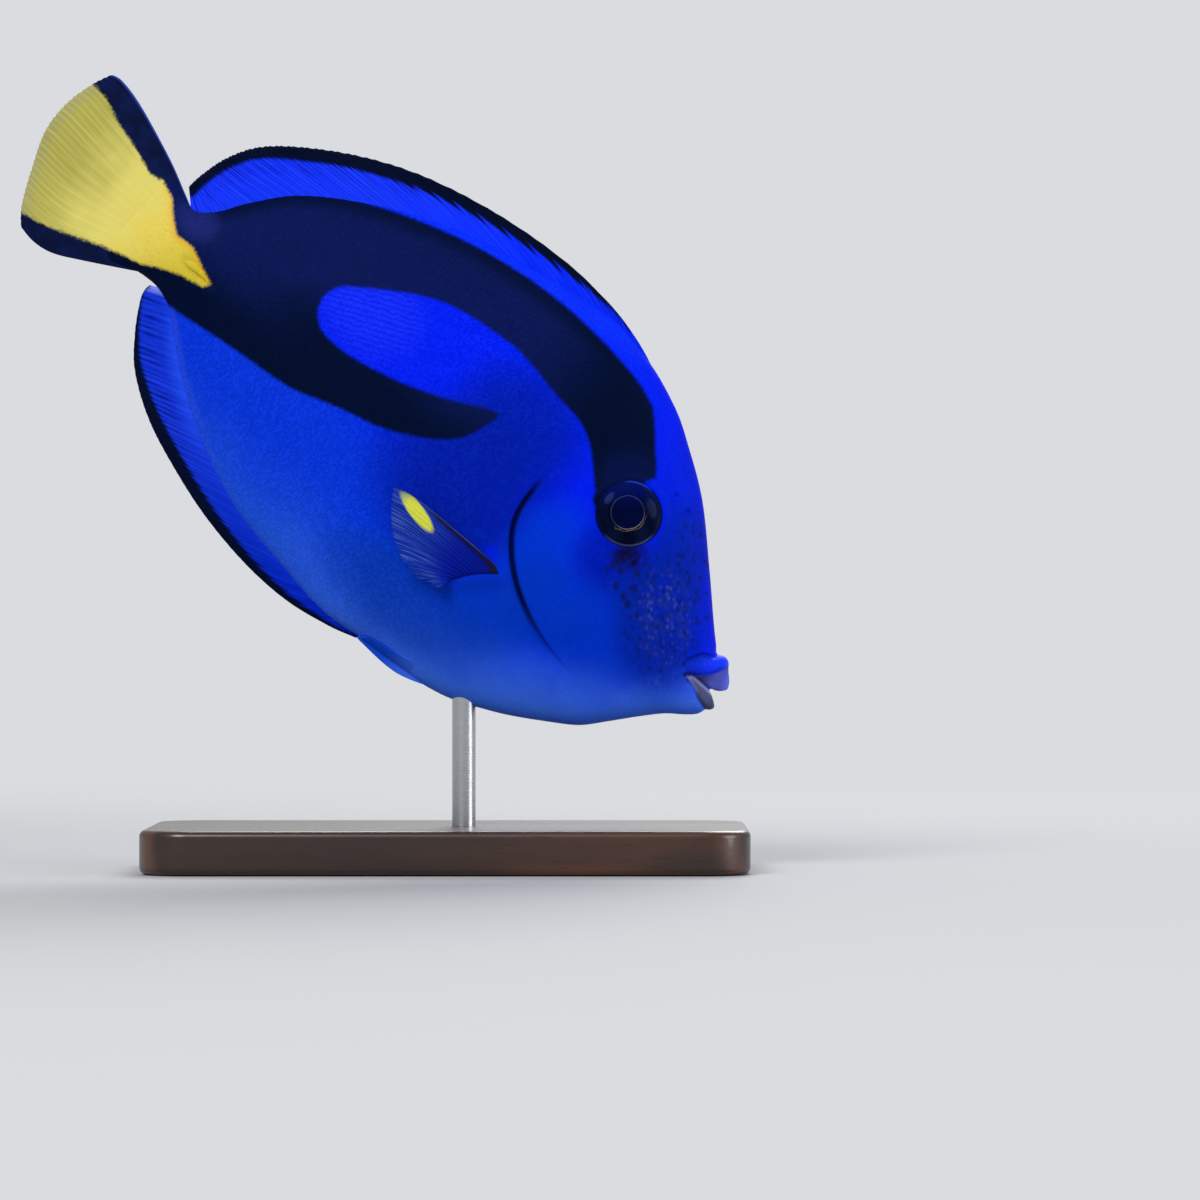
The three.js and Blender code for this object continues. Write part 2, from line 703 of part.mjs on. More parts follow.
// Rounded plate with a softened upper and lower edge
function baseGeometry() {

	const x = baseLength / 2 - baseEdge;
	const y = baseWidth / 2 - baseEdge;
	const shape = new THREE.Shape();
	shape.moveTo( - x + baseCorner, - y );
	shape.lineTo( x - baseCorner, - y );
	shape.absarc( x - baseCorner, - y + baseCorner, baseCorner, - Math.PI / 2, 0 );
	shape.absarc( x - baseCorner, y - baseCorner, baseCorner, 0, Math.PI / 2 );
	shape.absarc( - x + baseCorner, y - baseCorner, baseCorner, Math.PI / 2, Math.PI );
	shape.absarc( - x + baseCorner, - y + baseCorner, baseCorner, Math.PI, Math.PI * 1.5 );
	return new THREE.ExtrudeGeometry( shape, {
		depth: baseHeight - 2 * baseEdge,
		bevelThickness: baseEdge,
		bevelSize: baseEdge,
		bevelSegments: edgeSegments,
		curveSegments: cornerSegments
	} ).translate( 0, 0, baseEdge );

}

// Upright rod from just above the base to just below the belly
function rodGeometry( fishMatrix ) {

	const foot = baseHeight + gap;
	const rod = new THREE.CylinderGeometry( rodRadius, rodRadius, rodTop - foot, rodAround );
	rod.rotateX( Math.PI / 2 ).translate( rodPlace, 0, ( rodTop + foot ) / 2 );
	const belly = solid( bodyGeometry( gap, noSwell ).applyMatrix4( fishMatrix ) );
	return geometryOf( largest( solid( rod ).subtract( belly ) ) );

}

function piece( name, geometry, material ) {

	const mesh = new THREE.Mesh( geometry, material );
	mesh.name = name;
	return mesh;

}

const fish = new THREE.Group();
fish.position.copy( snoutPlace );
fish.rotation.y = noseDown;
fish.updateMatrix();
fish.add( piece( 'head', headGeometry(), look.skin ) );
fish.add( piece( 'upper_jaw', jawGeometry( bodyPieces.upperJaw ), look.lips ) );
fish.add( piece( 'lower_jaw', jawGeometry( bodyPieces.lowerJaw ), look.lips ) );
fish.add( piece( 'trunk', trunkGeometry(), look.skin ) );
fish.add( piece( 'tail_stem', tailStemGeometry(), look.skin ) );
fish.add( piece( 'dorsal_fin', leaningFinGeometry( dorsalFin ), look.blueFin ) );
fish.add( piece( 'anal_fin', leaningFinGeometry( analFin ), look.blueFin ) );
fish.add( piece( 'caudal_fin', caudalFinGeometry(), look.yellowFin ) );

for ( const [ name, side ] of [ [ 'left', 1 ], [ 'right', - 1 ] ] ) {

	const socket = onFlank( eyePlace, - eyeSink );
	const eye = piece( `eye_${ name }`, eyeballGeometry( 0 ), look.eye );
	eye.applyMatrix4( side > 0 ? socket : mirrored( socket ) );
	fish.add( eye );
	fish.add( piece( `pectoral_fin_${ name }`, pectoralFinGeometry( side ), look.paleFin ) );
	fish.add( piece( `pelvic_fin_${ name }`, pelvicFinGeometry( side ), look.paleFin ) );

}

const tang = new THREE.Group();
tang.add( fish );
tang.add( piece( 'stand_base', baseGeometry(), look.wood ) );
tang.add( piece( 'stand_rod', rodGeometry( fish.matrix ), look.steel ) );

export default tang;
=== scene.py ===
import math

import bmesh
import bpy
import numpy as np
from mathutils import Matrix, Vector


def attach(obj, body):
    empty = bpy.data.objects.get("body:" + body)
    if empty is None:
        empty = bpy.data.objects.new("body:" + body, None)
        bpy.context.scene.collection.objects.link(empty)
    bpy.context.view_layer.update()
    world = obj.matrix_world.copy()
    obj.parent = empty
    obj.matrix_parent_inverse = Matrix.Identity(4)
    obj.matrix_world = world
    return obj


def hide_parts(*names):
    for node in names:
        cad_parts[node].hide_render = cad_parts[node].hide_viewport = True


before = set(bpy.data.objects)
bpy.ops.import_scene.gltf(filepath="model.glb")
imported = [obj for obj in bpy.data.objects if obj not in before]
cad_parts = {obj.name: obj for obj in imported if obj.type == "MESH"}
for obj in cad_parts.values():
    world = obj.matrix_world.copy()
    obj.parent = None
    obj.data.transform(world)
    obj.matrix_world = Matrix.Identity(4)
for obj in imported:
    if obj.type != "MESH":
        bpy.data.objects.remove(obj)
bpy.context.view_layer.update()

print("frame loaded:", len(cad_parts), "solids")

# The fish is drawn level first, in millimetres: x is minus the distance behind the snout (called back),
# y is the side, positive on its left, and z is up. onStand then tips it nose down and sets it on its rod.
pose = {
    "noseDown": 40,
    "snout": (52, 0, 34.6),
}


def smooth(low, high, value):
    t = np.clip((value - low) / (high - low), 0, 1)
    return t * t * (3 - 2 * t)


def blend(start, end, share):
    return start + (end - start) * share


def smoothThrough(points):
    # a curve through points that only turns where they turn
    places, values = np.array(points, float).T
    slopes = np.diff(values) / np.diff(places)
    before, after = np.append(slopes[0], slopes), np.append(slopes, slopes[-1])
    alike = before * after > 0
    tangents = np.where(alike, 2 * before * after / np.where(alike, before + after, 1), 0)

    def at(place):
        x = np.clip(place, places[0], places[-1])
        i = np.clip(np.searchsorted(places, x, side="right") - 1, 0, len(places) - 2)
        span = places[i + 1] - places[i]
        t = (x - places[i]) / span
        ease = t * t * (3 - 2 * t)
        bends = t * (1 - t) ** 2 * tangents[i] + t * t * (t - 1) * tangents[i + 1]
        return values[i] * (1 - ease) + values[i + 1] * ease + span * bends

    return at


def smoothPath(points, count, closed=False):
    # an even run of places along a smooth line through points
    stepsPerSpan = 16
    p = np.array(points, float)
    ends = (p[-1:], p[:2]) if closed else (p[:1], p[-1:])
    p = np.concatenate([ends[0], p, ends[1]])
    t = np.linspace(0, 1, stepsPerSpan + 1)[:-1, None]
    runs = []
    for a, b, c, d in zip(p[:-3], p[1:-2], p[2:-1], p[3:]):
        leave, arrive = (c - a) / 2, (d - b) / 2
        runs.append(
            (2 * b - 2 * c + leave + arrive) * t**3
            + (3 * c - 3 * b - 2 * leave - arrive) * t**2
            + leave * t
            + b
        )
    fine = np.concatenate([*runs, p[-2:-1]])
    length = np.append(0, np.cumsum(np.linalg.norm(np.diff(fine, axis=0), axis=1)))
    even = np.linspace(0, length[-1], count)
    return np.stack([np.interp(even, length, fine[:, i]) for i in range(2)], -1)


def along(path, share):
    steps = np.linspace(0, 1, len(path))
    return np.stack([np.interp(share, steps, path[:, i]) for i in range(2)], -1)


def nearest(back, up, path, reach=None):
    # distance to a line in the side view, the share of its length there, and which side of it a place is on
    path = np.asarray(path, float)
    far = 1e6
    distance, share, side = np.full(back.shape, far), np.zeros(back.shape), np.zeros(back.shape)
    low, high = path.min(0), path.max(0)
    near = slice(None)
    if reach is not None:
        near = (back > low[0] - reach) & (back < high[0] + reach)
        near &= (up > low[1] - reach) & (up < high[1] + reach)
    x, y = back[near], up[near]
    best, bestShare, bestSide = np.full(x.shape, far**2), np.zeros(x.shape), np.zeros(x.shape)
    run = 0
    for start, end in zip(path[:-1], path[1:]):
        step = end - start
        length = math.hypot(*step)
        if length == 0:
            continue
        step = step / length
        dx, dy = x - start[0], y - start[1]
        t = np.clip(dx * step[0] + dy * step[1], 0, length)
        found = (dx - t * step[0]) ** 2 + (dy - t * step[1]) ** 2
        closer = found < best
        best[closer] = found[closer]
        bestShare[closer] = (run + t)[closer]
        bestSide[closer] = (step[0] * dy - step[1] * dx)[closer]
        run += length
    distance[near], share[near], side[near] = np.sqrt(best), bestShare / run, np.sign(bestSide)
    return distance, share, side


def depthInside(back, up, outline):
    # millimetres inside a closed outline, negative outside it
    inside = np.zeros(back.shape, bool)
    for (x0, y0), (x1, y1) in zip(outline, np.roll(outline, -1, 0)):
        if y0 != y1:
            crosses = (y0 > up) != (y1 > up)
            inside ^= crosses & (back < x0 + (up - y0) / (y1 - y0) * (x1 - x0))
    distance = nearest(back, up, np.concatenate([outline, outline[:1]]))[0]
    return np.where(inside, distance, -distance)


def hump(distance, reach):
    return np.exp(-((distance / reach) ** 2))


def meshObject(name, points, faces):
    mesh = bpy.data.meshes.new(name)
    mesh.from_pydata(np.asarray(points, float).tolist(), [], faces)
    mesh.shade_smooth()
    made = bpy.data.objects.new(name, mesh)
    bpy.context.scene.collection.objects.link(made)
    return made


def outward(made):
    # all faces of a closed mesh look outwards
    work = bmesh.new()
    work.from_mesh(made.data)
    bmesh.ops.recalc_face_normals(work, faces=work.faces)
    if work.calc_volume(signed=True) < 0:
        bmesh.ops.reverse_faces(work, faces=work.faces)
    work.to_mesh(made.data)
    work.free()
    return made


def quads(index):
    corners = index[:-1, :-1], index[1:, :-1], index[1:, 1:], index[:-1, 1:]
    return np.stack(corners, -1).reshape(-1, 4).tolist()


def loftObject(name, rings):
    # a closed skin over rings of points, with a fan at each end
    count, around = rings.shape[:2]
    index = np.arange(count * around).reshape(count, around)
    faces = quads(np.concatenate([index, index[:, :1]], 1))
    points = np.concatenate([rings.reshape(-1, 3), rings[:1].mean(1), rings[-1:].mean(1)])
    for ring, centre in ((index[0], len(points) - 2), (index[-1], len(points) - 1)):
        faces += [[centre, a, b] for a, b in zip(ring.tolist(), np.roll(ring, -1).tolist())]
    return outward(meshObject(name, points, faces))


def threes(items, name):
    found = np.zeros(len(items) * 3, np.float32)
    items.foreach_get(name, found)
    return found.reshape(-1, 3).astype(float)


def pointsOf(mesh):
    return threes(mesh.vertices, "co")


def setPoints(mesh, points):
    mesh.vertices.foreach_set("co", points.astype(np.float32).ravel())
    mesh.update()


def store(made, **fields):
    # values for each vertex, which the materials read by name
    for name, values in fields.items():
        vector = np.ndim(values) == 2
        kind = "FLOAT_VECTOR" if vector else "FLOAT"
        field = made.data.attributes.new(name, kind, "POINT")
        field.data.foreach_set("vector" if vector else "value", np.asarray(values, np.float32).ravel())


def relax(mesh, rounds, strength=0.5):
    # each vertex moves towards the middle of its neighbours
    ends = np.zeros(len(mesh.edges) * 2, np.int32)
    mesh.edges.foreach_get("vertices", ends)
    a, b = ends.reshape(-1, 2).T
    points = pointsOf(mesh)
    count = len(points)
    neighbours = np.bincount(a, minlength=count) + np.bincount(b, minlength=count)
    for _ in range(rounds):
        for i in range(3):
            total = np.bincount(a, points[b, i], count) + np.bincount(b, points[a, i], count)
            points[:, i] = blend(points[:, i], total / neighbours, strength)
    setPoints(mesh, points)


def onStand(made):
    turn = Matrix.Rotation(math.radians(pose["noseDown"]), 4, "Y")
    made.data.transform(Matrix.Scale(0.001, 4) @ Matrix.Translation(pose["snout"]) @ turn)
    made.data.update()
    return made


def finishPiece(made, material, slot, *nodes):
    made.data.materials.clear()
    made.data.materials.append(material)
    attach(made, "root")
    if nodes:
        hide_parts(*nodes)
    return made


def ink(code):
    # a colour as it looks on screen, turned into light
    values = [int(code[i:i + 2], 16) / 255 for i in (1, 3, 5)]
    return [v / 12.92 if v <= 0.04045 else ((v + 0.055) / 1.055) ** 2.4 for v in values] + [1]


class Wire:
    # a socket's value, so that maths on it reads as maths
    def __init__(self, paint, socket):
        self.paint = paint
        self.socket = socket

    def __add__(self, other):
        return self.paint.maths("ADD", self, other)

    def __sub__(self, other):
        return self.paint.maths("SUBTRACT", self, other)

    def __rsub__(self, other):
        return self.paint.maths("SUBTRACT", other, self)

    def __mul__(self, other):
        return self.paint.maths("MULTIPLY", self, other)

    def __truediv__(self, other):
        return self.paint.maths("DIVIDE", self, other)

    def __pow__(self, other):
        return self.paint.maths("POWER", self, other)

    def __abs__(self):
        return self.paint.maths("ABSOLUTE", self)

    __radd__ = __add__
    __rmul__ = __mul__


class Paint:
    # the nodes of one material, or of the room around the model, and the colour that is laid on so far
    def __init__(self, name, colours=None, room=False, **finish):
        self.material = (bpy.data.worlds if room else bpy.data.materials).new(name)
        self.material.use_nodes = True
        self.tree = self.material.node_tree
        self.colours = colours or {}
        self.colour = None
        if not room:
            self.surface(**finish)

    def fill(self, node, values):
        for key, value in values.items():
            if isinstance(value, Wire):
                self.tree.links.new(value.socket, node.inputs[key])
            else:
                node.inputs[key].default_value = value

    def surface(self, **values):
        self.fill(self.tree.nodes["Principled BSDF"], {key.replace("_", " "): v for key, v in values.items()})

    def node(self, kind, settings, values, out=0):
        made = self.tree.nodes.new("ShaderNode" + kind)
        for key, value in settings.items():
            setattr(made, key, value)
        self.fill(made, values)
        return Wire(self, made.outputs[out])

    def maths(self, operation, *values):
        return self.node("Math", {"operation": operation}, dict(enumerate(values)))

    def vector(self, operation, *values, out=0):
        return self.node("VectorMath", {"operation": operation}, dict(enumerate(values)), out)

    def length(self, vector):
        return self.vector("LENGTH", vector, out="Value")

    def clip(self, value):
        return self.node("Clamp", {}, {"Value": value})

    def field(self, name, out="Fac"):
        return self.node("Attribute", {"attribute_name": name}, {}, out)

    def part(self, vector, axis):
        return self.node("SeparateXYZ", {}, {"Vector": vector}, axis)

    def joined(self, x, y):
        return self.node("CombineXYZ", {}, {"X": x, "Y": y})

    def onFish(self):
        place = self.field("fishPlace", "Vector")
        return place, self.part(place, "X"), self.part(place, "Z")

    def rise(self, value, low, high):
        ranges = {"Value": value, "From Min": low, "From Max": high}
        return self.node("MapRange", {"interpolation_type": "SMOOTHSTEP"}, ranges)

    def mix(self, share, first, second):
        # a colour is a name from the list, a code or a wire
        first, second = [ink(self.colours.get(c, c)) if isinstance(c, str) else c for c in (first, second)]
        return self.node("Mix", {"data_type": "RGBA"}, {0: share, 6: first, 7: second}, 2)

    def coat(self, share, tint):
        # lays one more colour over those before it
        self.colour = self.mix(share, self.colour, tint)

    def noise(self, place, scale, detail=2, roughness=0.5):
        values = {"Vector": place, "Scale": scale, "Detail": detail, "Roughness": roughness}
        return self.node("TexNoise", {}, values)

    def cells(self, place, scale, randomness=1.0):
        values = {"Vector": place, "Scale": scale, "Randomness": randomness}
        return self.node("TexVoronoi", {"voronoi_dimensions": "2D"}, values, "Distance")

    def bump(self, height, distance, strength=1.0, over=None):
        values = {"Height": height, "Distance": distance, "Strength": strength}
        if over:
            values["Normal"] = over
        return self.node("Bump", {}, values)

    def spot(self, x, y, middle, reach):
        # 1 in the middle of a soft oval, 0 at its edge
        across, upright = (x - middle[0]) / reach[0], (y - middle[1]) / reach[1]
        return self.rise(across * across + upright * upright, 1, 0)

    def finished(self, speckled, normal, smoothest=0.42, **more):
        # the gloss varies a little from place to place
        self.surface(Base_Color=self.colour, Roughness=smoothest + speckled * 0.12, Normal=normal, **more)
        return self.material


# where the bright roll of the upper lip meets its pale flap
flapLine = [(2.7, 0.6), (3.3, -0.6), (4.2, -1.5), (5.2, -2.4), (6.4, -3.2)]

# outlines are (back, up) places and (back, size) pairs, in millimetres
body = {
    "top": [
        (-1.2, -2.6), (-0.9, -0.7), (-0.3, 0.5), (0.9, 1.7), (2.4, 3), (3.6, 3.4), (4.7, 2.9), (6, 4.2),
        (8, 6.1), (16, 14.2), (26, 23.8), (33, 28.8), (40, 33.1), (50, 36.8), (59, 38.4), (70, 37.3),
        (80, 35.6), (90, 33.4), (100, 30), (110, 25), (120, 18.2), (126, 11.2), (130, 5.6), (133, 3.8),
        (134, 4), (136, 4.9), (141, 7.4),
    ],
    "bottom": [
        (-1.2, -5.3), (-0.9, -5.8), (-0.3, -6.2), (0.4, -7.8), (2.2, -9.5), (5, -11.6), (8, -14.7),
        (12, -19.3), (16, -23.7), (20, -26.4), (30, -32.1), (40, -36), (46, -36.9), (55, -37.1),
        (65, -38.2), (79, -36.4), (89, -34.6), (99, -31), (106, -27.3), (113, -22.9), (119, -18.2),
        (123, -14.8), (126, -12.6), (130, -11.6), (134, -11.9), (136, -12.8), (141, -15.6),
    ],
    "middle": [(-1.2, -3.8), (8, -2.6), (24, -0.5), (46, 1.5), (84, 1.5), (134, -4.2), (141, -4.4)],
    "halfWidth": [
        (-1.2, 0.9), (-0.9, 1.6), (-0.3, 2.3), (0.9, 3), (3, 3.7), (8, 4.9), (16, 6.9), (26, 8.7),
        (36, 9.9), (50, 10.8), (66, 10.3), (84, 8.9), (100, 7), (116, 4.9), (126, 3.8), (134, 2.5),
        (136.5, 1.6), (139, 0.8), (141, 0.3),
    ],
    "upperWedge": [(0, 1), (30, 1.15), (55, 1.3), (110, 1.25), (134, 1)],
    "lowerWedge": [(0, 1), (60, 1.1), (110, 1.15), (134, 1)],
    "mouthOpening": [
        (1.7, -2.95), (0.4, -2.2), (-0.2, -1.8), (-0.75, -1.1), (-3, 0.5), (-3, -5.6), (-1, -4.7),
        (-0.3, -4.15), (0.4, -3.7),
    ],
    "mouthCut": 9,
    "ends": (-1.2, 141),
    "steps": 6000,
    "steepest": 6,
    "rings": 400,
    "around": 240,
    "grain": 0.28,
    "exactRise": (0.97, 0.86),
    "exactFront": (8.5, 12),
    "exactRear": (136, 133),
    "finRoot": {"line": [(45.6, -12.2), (48.6, -15.1), (51.6, -18.2)], "width": 2, "rise": 0.7},
    "lipRoll": {
        "line": [(3, 2.4), (4.1, 1), (5.2, -0.2), (6.2, -1.3), (7, -2.4)],
        "width": 1.15, "rise": 0.55,
    },
    "lipFolds": [
        {
            "line": [(4.7, 3.6), (4.9, 2.4), (5.8, 1.8), (7, 1), (7.6, -0.2), (8.3, -1.3), (8.2, -2.6)],
            "width": 0.42, "depth": 0.45, "shade": 0.7, "below": (3.2, 1.6),
        },
        {
            "line": [(1.2, -2.9), (3.2, -3), (5.8, -3), (6.8, -3.8)],
            "width": 0.3, "depth": 0.5, "shade": 1,
        },
        {
            "line": [(0.2, -6.2), (2.2, -5.6), (3.3, -4.9), (4.4, -4.4), (5.8, -4.3), (6.8, -3.8)],
            "width": 0.42, "depth": 0.35, "shade": 1,
        },
        {"line": [(2, 2), *flapLine], "width": 0.35, "depth": 0.35, "shade": 0.5},
    ],
}

gill = {
    "slit": [
        (50.2, 9), (50.4, 5), (50.1, 0.6), (48.8, -3.3), (46, -7), (42.2, -10.4), (37.9, -13), (33, -15.1),
        (28, -16.4), (22.5, -17),
    ],
    "depth": 0.9,
    "width": 0.4,
    "behind": 0.2,
    "shadeWidth": 0.5,
    "shadeBehind": 0.15,
    "fadesIn": (0, 0.15),
    "fadesOut": (0.94, 0.55),
    "coverRise": 0.6,
    "coverReach": 11,
    "coverEdge": 0.35,
    "coverFadesIn": (0, 0.3),
    "coverFadesOut": (1, 0.75),
}

eye = {
    "place": (34.2, 12.4),
    "radii": (6.5, 3, 6.4),
    "sink": 0.9,
    "socket": (6.25, 5.15),
    "socketDepth": 2.4,
    "rim": 6.75,
    "rimWidth": 0.6,
    "rimRise": 0.16,
    "around": 112,
    "rings": 64,
}

nostril = {
    "holes": [((29.6, 20.6), 0.45), ((26, 19.9), 0.35)],
    "rimRise": 0.1,
    "rimWidth": 0.3,
    "depth": 0.35,
    "edge": (0.2, -0.3),
}

tailSpine = {
    "base": (127.8, -4.6),
    "tip": (121.3, -4.9),
    "arch": 0.35,
    "height": 1.5,
    "rise": 0.95,
    "sink": 0.25,
    "groove": 0.4,
    "grooveWidth": 0.9,
    "rings": 40,
    "around": 28,
}

# how near to these the skin has finer faces
finer = {"eye": (4.8, 8.3), "mouth": 9, "gill": 2.2, "nostril": 2}

topLine, bottomLine, middleLine, halfWidth, upperWedge, lowerWedge = [
    smoothThrough(body[name]) for name in ("top", "bottom", "middle", "halfWidth", "upperWedge", "lowerWedge")
]


def halfSection(back, above):
    middle = middleLine(back)
    reach = np.where(above, topLine(back) - middle, middle - bottomLine(back))
    return middle, reach, np.where(above, upperWedge(back), lowerWedge(back))


def sectionOf(back, up):
    middle, reach, wedge = halfSection(back, up > middleLine(back))
    return np.clip((up - middle) / reach, -1, 1), wedge


def flankWidth(back, up):
    rise, wedge = sectionOf(back, up)
    return halfWidth(back) * (1 - rise**2) ** (wedge / 2)


def onFlank(place, lift=0):
    # the middle of a flat patch on the left flank and its two ways along the skin and one out of it
    back, up = place
    step = 0.5
    lengthwise = (flankWidth(back + step, up) - flankWidth(back - step, up)) / (2 * step)
    upright = (flankWidth(back, up + step) - flankWidth(back, up - step)) / (2 * step)
    out = Vector((lengthwise, 1, -upright)).normalized()
    turn = Vector((0, 1, 0)).rotation_difference(out).to_matrix()
    middle = Vector((-back, float(flankWidth(back, up)), up)) + out * lift
    return np.array(middle), np.array(turn)


def bodyRings():
    # the rings lie closer where the outline is steep
    fine = np.linspace(*body["ends"], body["steps"])
    rising = np.max([np.abs(np.gradient(line(fine), fine)) for line in (topLine, bottomLine)], axis=0)
    length = np.cumsum(np.sqrt(1 + np.minimum(rising, body["steepest"]) ** 2))
    back = np.interp(np.linspace(length[0], length[-1], body["rings"]), length, fine)[:, None]
    turn = np.linspace(0, 2 * math.pi, body["around"], endpoint=False)[None, :]
    rise, level = np.sin(turn), np.cos(turn)
    middle, reach, wedge = halfSection(back, rise > 0)
    side = np.sign(level) * np.abs(level) ** wedge * halfWidth(back)
    return np.stack(np.broadcast_arrays(-back, side, middle + reach * rise), -1)


def bodyMesh():
    shell = loftObject("skin", bodyRings())
    back, up = np.array(body["mouthOpening"]).T
    half = body["mouthCut"]
    sides = [np.column_stack([-back, np.full(len(back), y), up]) for y in (-half, half)]
    cutter = loftObject("mouthCutter", np.stack(sides))
    cut = shell.modifiers.new("mouth", "BOOLEAN")
    cut.operation, cut.object, cut.solver = "DIFFERENCE", cutter, "EXACT"
    even = shell.modifiers.new("even", "REMESH")
    even.mode, even.voxel_size = "VOXEL", body["grain"]
    graph = bpy.context.evaluated_depsgraph_get()
    whole = bpy.data.meshes.new_from_object(shell.evaluated_get(graph))
    shell.modifiers.clear()
    shell.data = whole
    bpy.data.objects.remove(cutter)
    return shell


def backOnFlank(mesh):
    # the sides of the body return to their exact curve after the rounding
    points = pointsOf(mesh)
    back, side, up = -points[:, 0], points[:, 1], points[:, 2]
    share = smooth(*body["exactRise"], np.abs(sectionOf(back, up)[0]))
    share *= smooth(*body["exactFront"], back) * smooth(*body["exactRear"], back)
    points[:, 1] = blend(side, np.sign(side) * flankWidth(back, up), share)
    setPoints(mesh, points)


def finerWhere(mesh, wanted):
    # faces with a wanted corner are parted in four
    work = bmesh.new()
    work.from_mesh(mesh)
    work.verts.ensure_lookup_table()
    chosen = {edge for i in np.flatnonzero(wanted) for edge in work.verts[i].link_edges}
    bmesh.ops.subdivide_edges(work, edges=list(chosen), cuts=1, use_grid_fill=True)
    work.to_mesh(mesh)
    work.free()
    mesh.shade_smooth()


def awayFrom(place, back, up):
    return np.hypot(back - place[0], up - place[1])


def nearFeatures(back, up):
    # places on the head where fine carving follows
    fromEye = awayFrom(eye["place"], back, up)
    near = (fromEye > finer["eye"][0]) & (fromEye < finer["eye"][1]) | (back < finer["mouth"])
    near |= nearest(back, up, gill["slit"], finer["gill"])[0] < finer["gill"]
    for place, _ in nostril["holes"]:
        near |= awayFrom(place, back, up) < finer["nostril"]
    return near


def carve(mesh):
    # raises and sinks the skin, and returns where painted shade darkens its slit and creases
    points, normals = pointsOf(mesh), threes(mesh.vertex_normals, "vector")
    back, up = -points[:, 0], points[:, 2]
    lift, crease = np.zeros(len(points)), np.zeros(len(points))

    def ridge(line, width):
        return hump(nearest(back, up, line, 4.5 * width)[0], width)

    # gill cover and the slit behind it
    distance, share, side = nearest(back, up, smoothPath(gill["slit"], 60), 4 * gill["coverReach"])
    ahead = np.where(side > 0, -distance, distance)
    strength = smooth(*gill["fadesIn"], share) * smooth(*gill["fadesOut"], share)
    cover = smooth(-gill["coverEdge"], gill["coverEdge"], ahead) * hump(distance, gill["coverReach"])
    cover *= smooth(*gill["coverFadesIn"], share) * smooth(*gill["coverFadesOut"], share)
    slit = hump(ahead + gill["behind"], gill["width"]) * strength
    lift += gill["coverRise"] * cover - gill["depth"] * slit

    # eye socket and its rim
    radius = awayFrom(eye["place"], back, up)
    lift += eye["rimRise"] * hump(radius - eye["rim"], eye["rimWidth"])
    lift -= eye["socketDepth"] * smooth(*eye["socket"], radius)

    # lips
    for fold in body["lipFolds"]:
        deep = ridge(fold["line"], fold["width"]) * (smooth(*fold["below"], up) if "below" in fold else 1)
        lift -= fold["depth"] * deep
        crease += fold["shade"] * deep

    # nostrils
    for place, hole in nostril["holes"]:
        away = awayFrom(place, back, up) - hole
        lift += nostril["rimRise"] * hump(away - nostril["rimWidth"], nostril["rimWidth"])
        lift -= nostril["depth"] * smooth(*nostril["edge"], away)

    # roll of the upper lip, fleshy root of the breast fin, and the groove of the tail spine
    for fold in (body["lipRoll"], body["finRoot"]):
        lift += fold["rise"] * ridge(fold["line"], fold["width"])
    lift -= tailSpine["groove"] * ridge([tailSpine["base"], tailSpine["tip"]], tailSpine["grooveWidth"])
    setPoints(mesh, points + normals * lift[:, None])
    slitShade = hump(ahead + gill["shadeBehind"], gill["shadeWidth"]) * strength
    return {"slit": slitShade, "crease": np.clip(crease, 0, 1)}


# each marking's outline; the band's is smoothed
markings = {
    "band": [
        (35.8, 19), (35.1, 21), (37.7, 23.9), (42.9, 29.6), (45.2, 30.9), (50, 32.4), (60, 33.8),
        (70, 34.2), (80, 33.4), (90, 31.6), (100, 28.7), (110, 24.7), (118, 20.1), (122, 16.5), (126, 11.4),
        (130, 8), (142, 12), (142, -20), (133.3, -12.8), (124.9, -12.7), (112.7, -11.3), (106, -10.7),
        (99.3, -10.1), (94.9, -9.1), (88.2, -6.9), (80.4, -4.9), (74.9, -2.4), (70.4, 0.3), (67.1, 3.4),
        (65.4, 7.3), (64.7, 10.9), (69.3, 8.8), (74.9, 6.2), (81.6, 3.8), (88.2, 2.1), (93.8, 1.2),
        (98.6, 1.3), (101.5, 2.5), (103.4, 5), (103.8, 7.8), (102.4, 10.7), (99.8, 12.6), (94.4, 16.2),
        (88.2, 19.7), (81.6, 21.7), (71.6, 22.7), (66, 22.3), (59.3, 21), (52.7, 20.1), (49.3, 18.7),
        (46, 16.2), (42.7, 12.9), (41.7, 12.3), (40.7, 10.1), (37, 10),
    ],
    "yellow": [
        (121.2, -4.8), (124.3, -3.5), (128.3, -1.7), (132, -1.9), (134.7, 0.2), (137.3, 2.8), (140.7, 4.2),
        (143.3, 3.6), (148.7, 5.7), (154.3, 7.2), (158.7, 9.2), (161.8, 9.7), (168, 10), (168, -20),
        (157.2, -17.3), (152, -16.2), (146, -14), (142.7, -12.8), (138, -11.3), (134, -10.4), (130.8, -8.7),
        (127, -7.2), (122, -6.2),
    ],
    "upperLip": [
        (1.8, 2.4), *flapLine, (7.7, -3), (8.2, -1.6), (7.6, -0.2), (7, 1), (5.8, 1.8), (4.9, 2.5),
        (4.5, 4.4), (1.6, 4.4),
    ],
    "innerLip": [
        (1.8, 2.4), (0, 2.6), (-2, 1), (-2, -1.5), (0.5, -2.6), (1.6, -3), (5.8, -3.05), *reversed(flapLine),
    ],
    "lowerLip": [
        (-2, -4), (0.4, -3.2), (2.6, -3), (5.8, -2.9), (6.8, -3.8), (4.4, -4.4), (3.3, -4.9), (2.2, -5.6),
        (0.4, -6.1), (-2, -6.4),
    ],
}
outlines = {name: np.array(points) for name, points in markings.items()}
outlines["band"] = smoothPath(markings["band"], 200, closed=True)


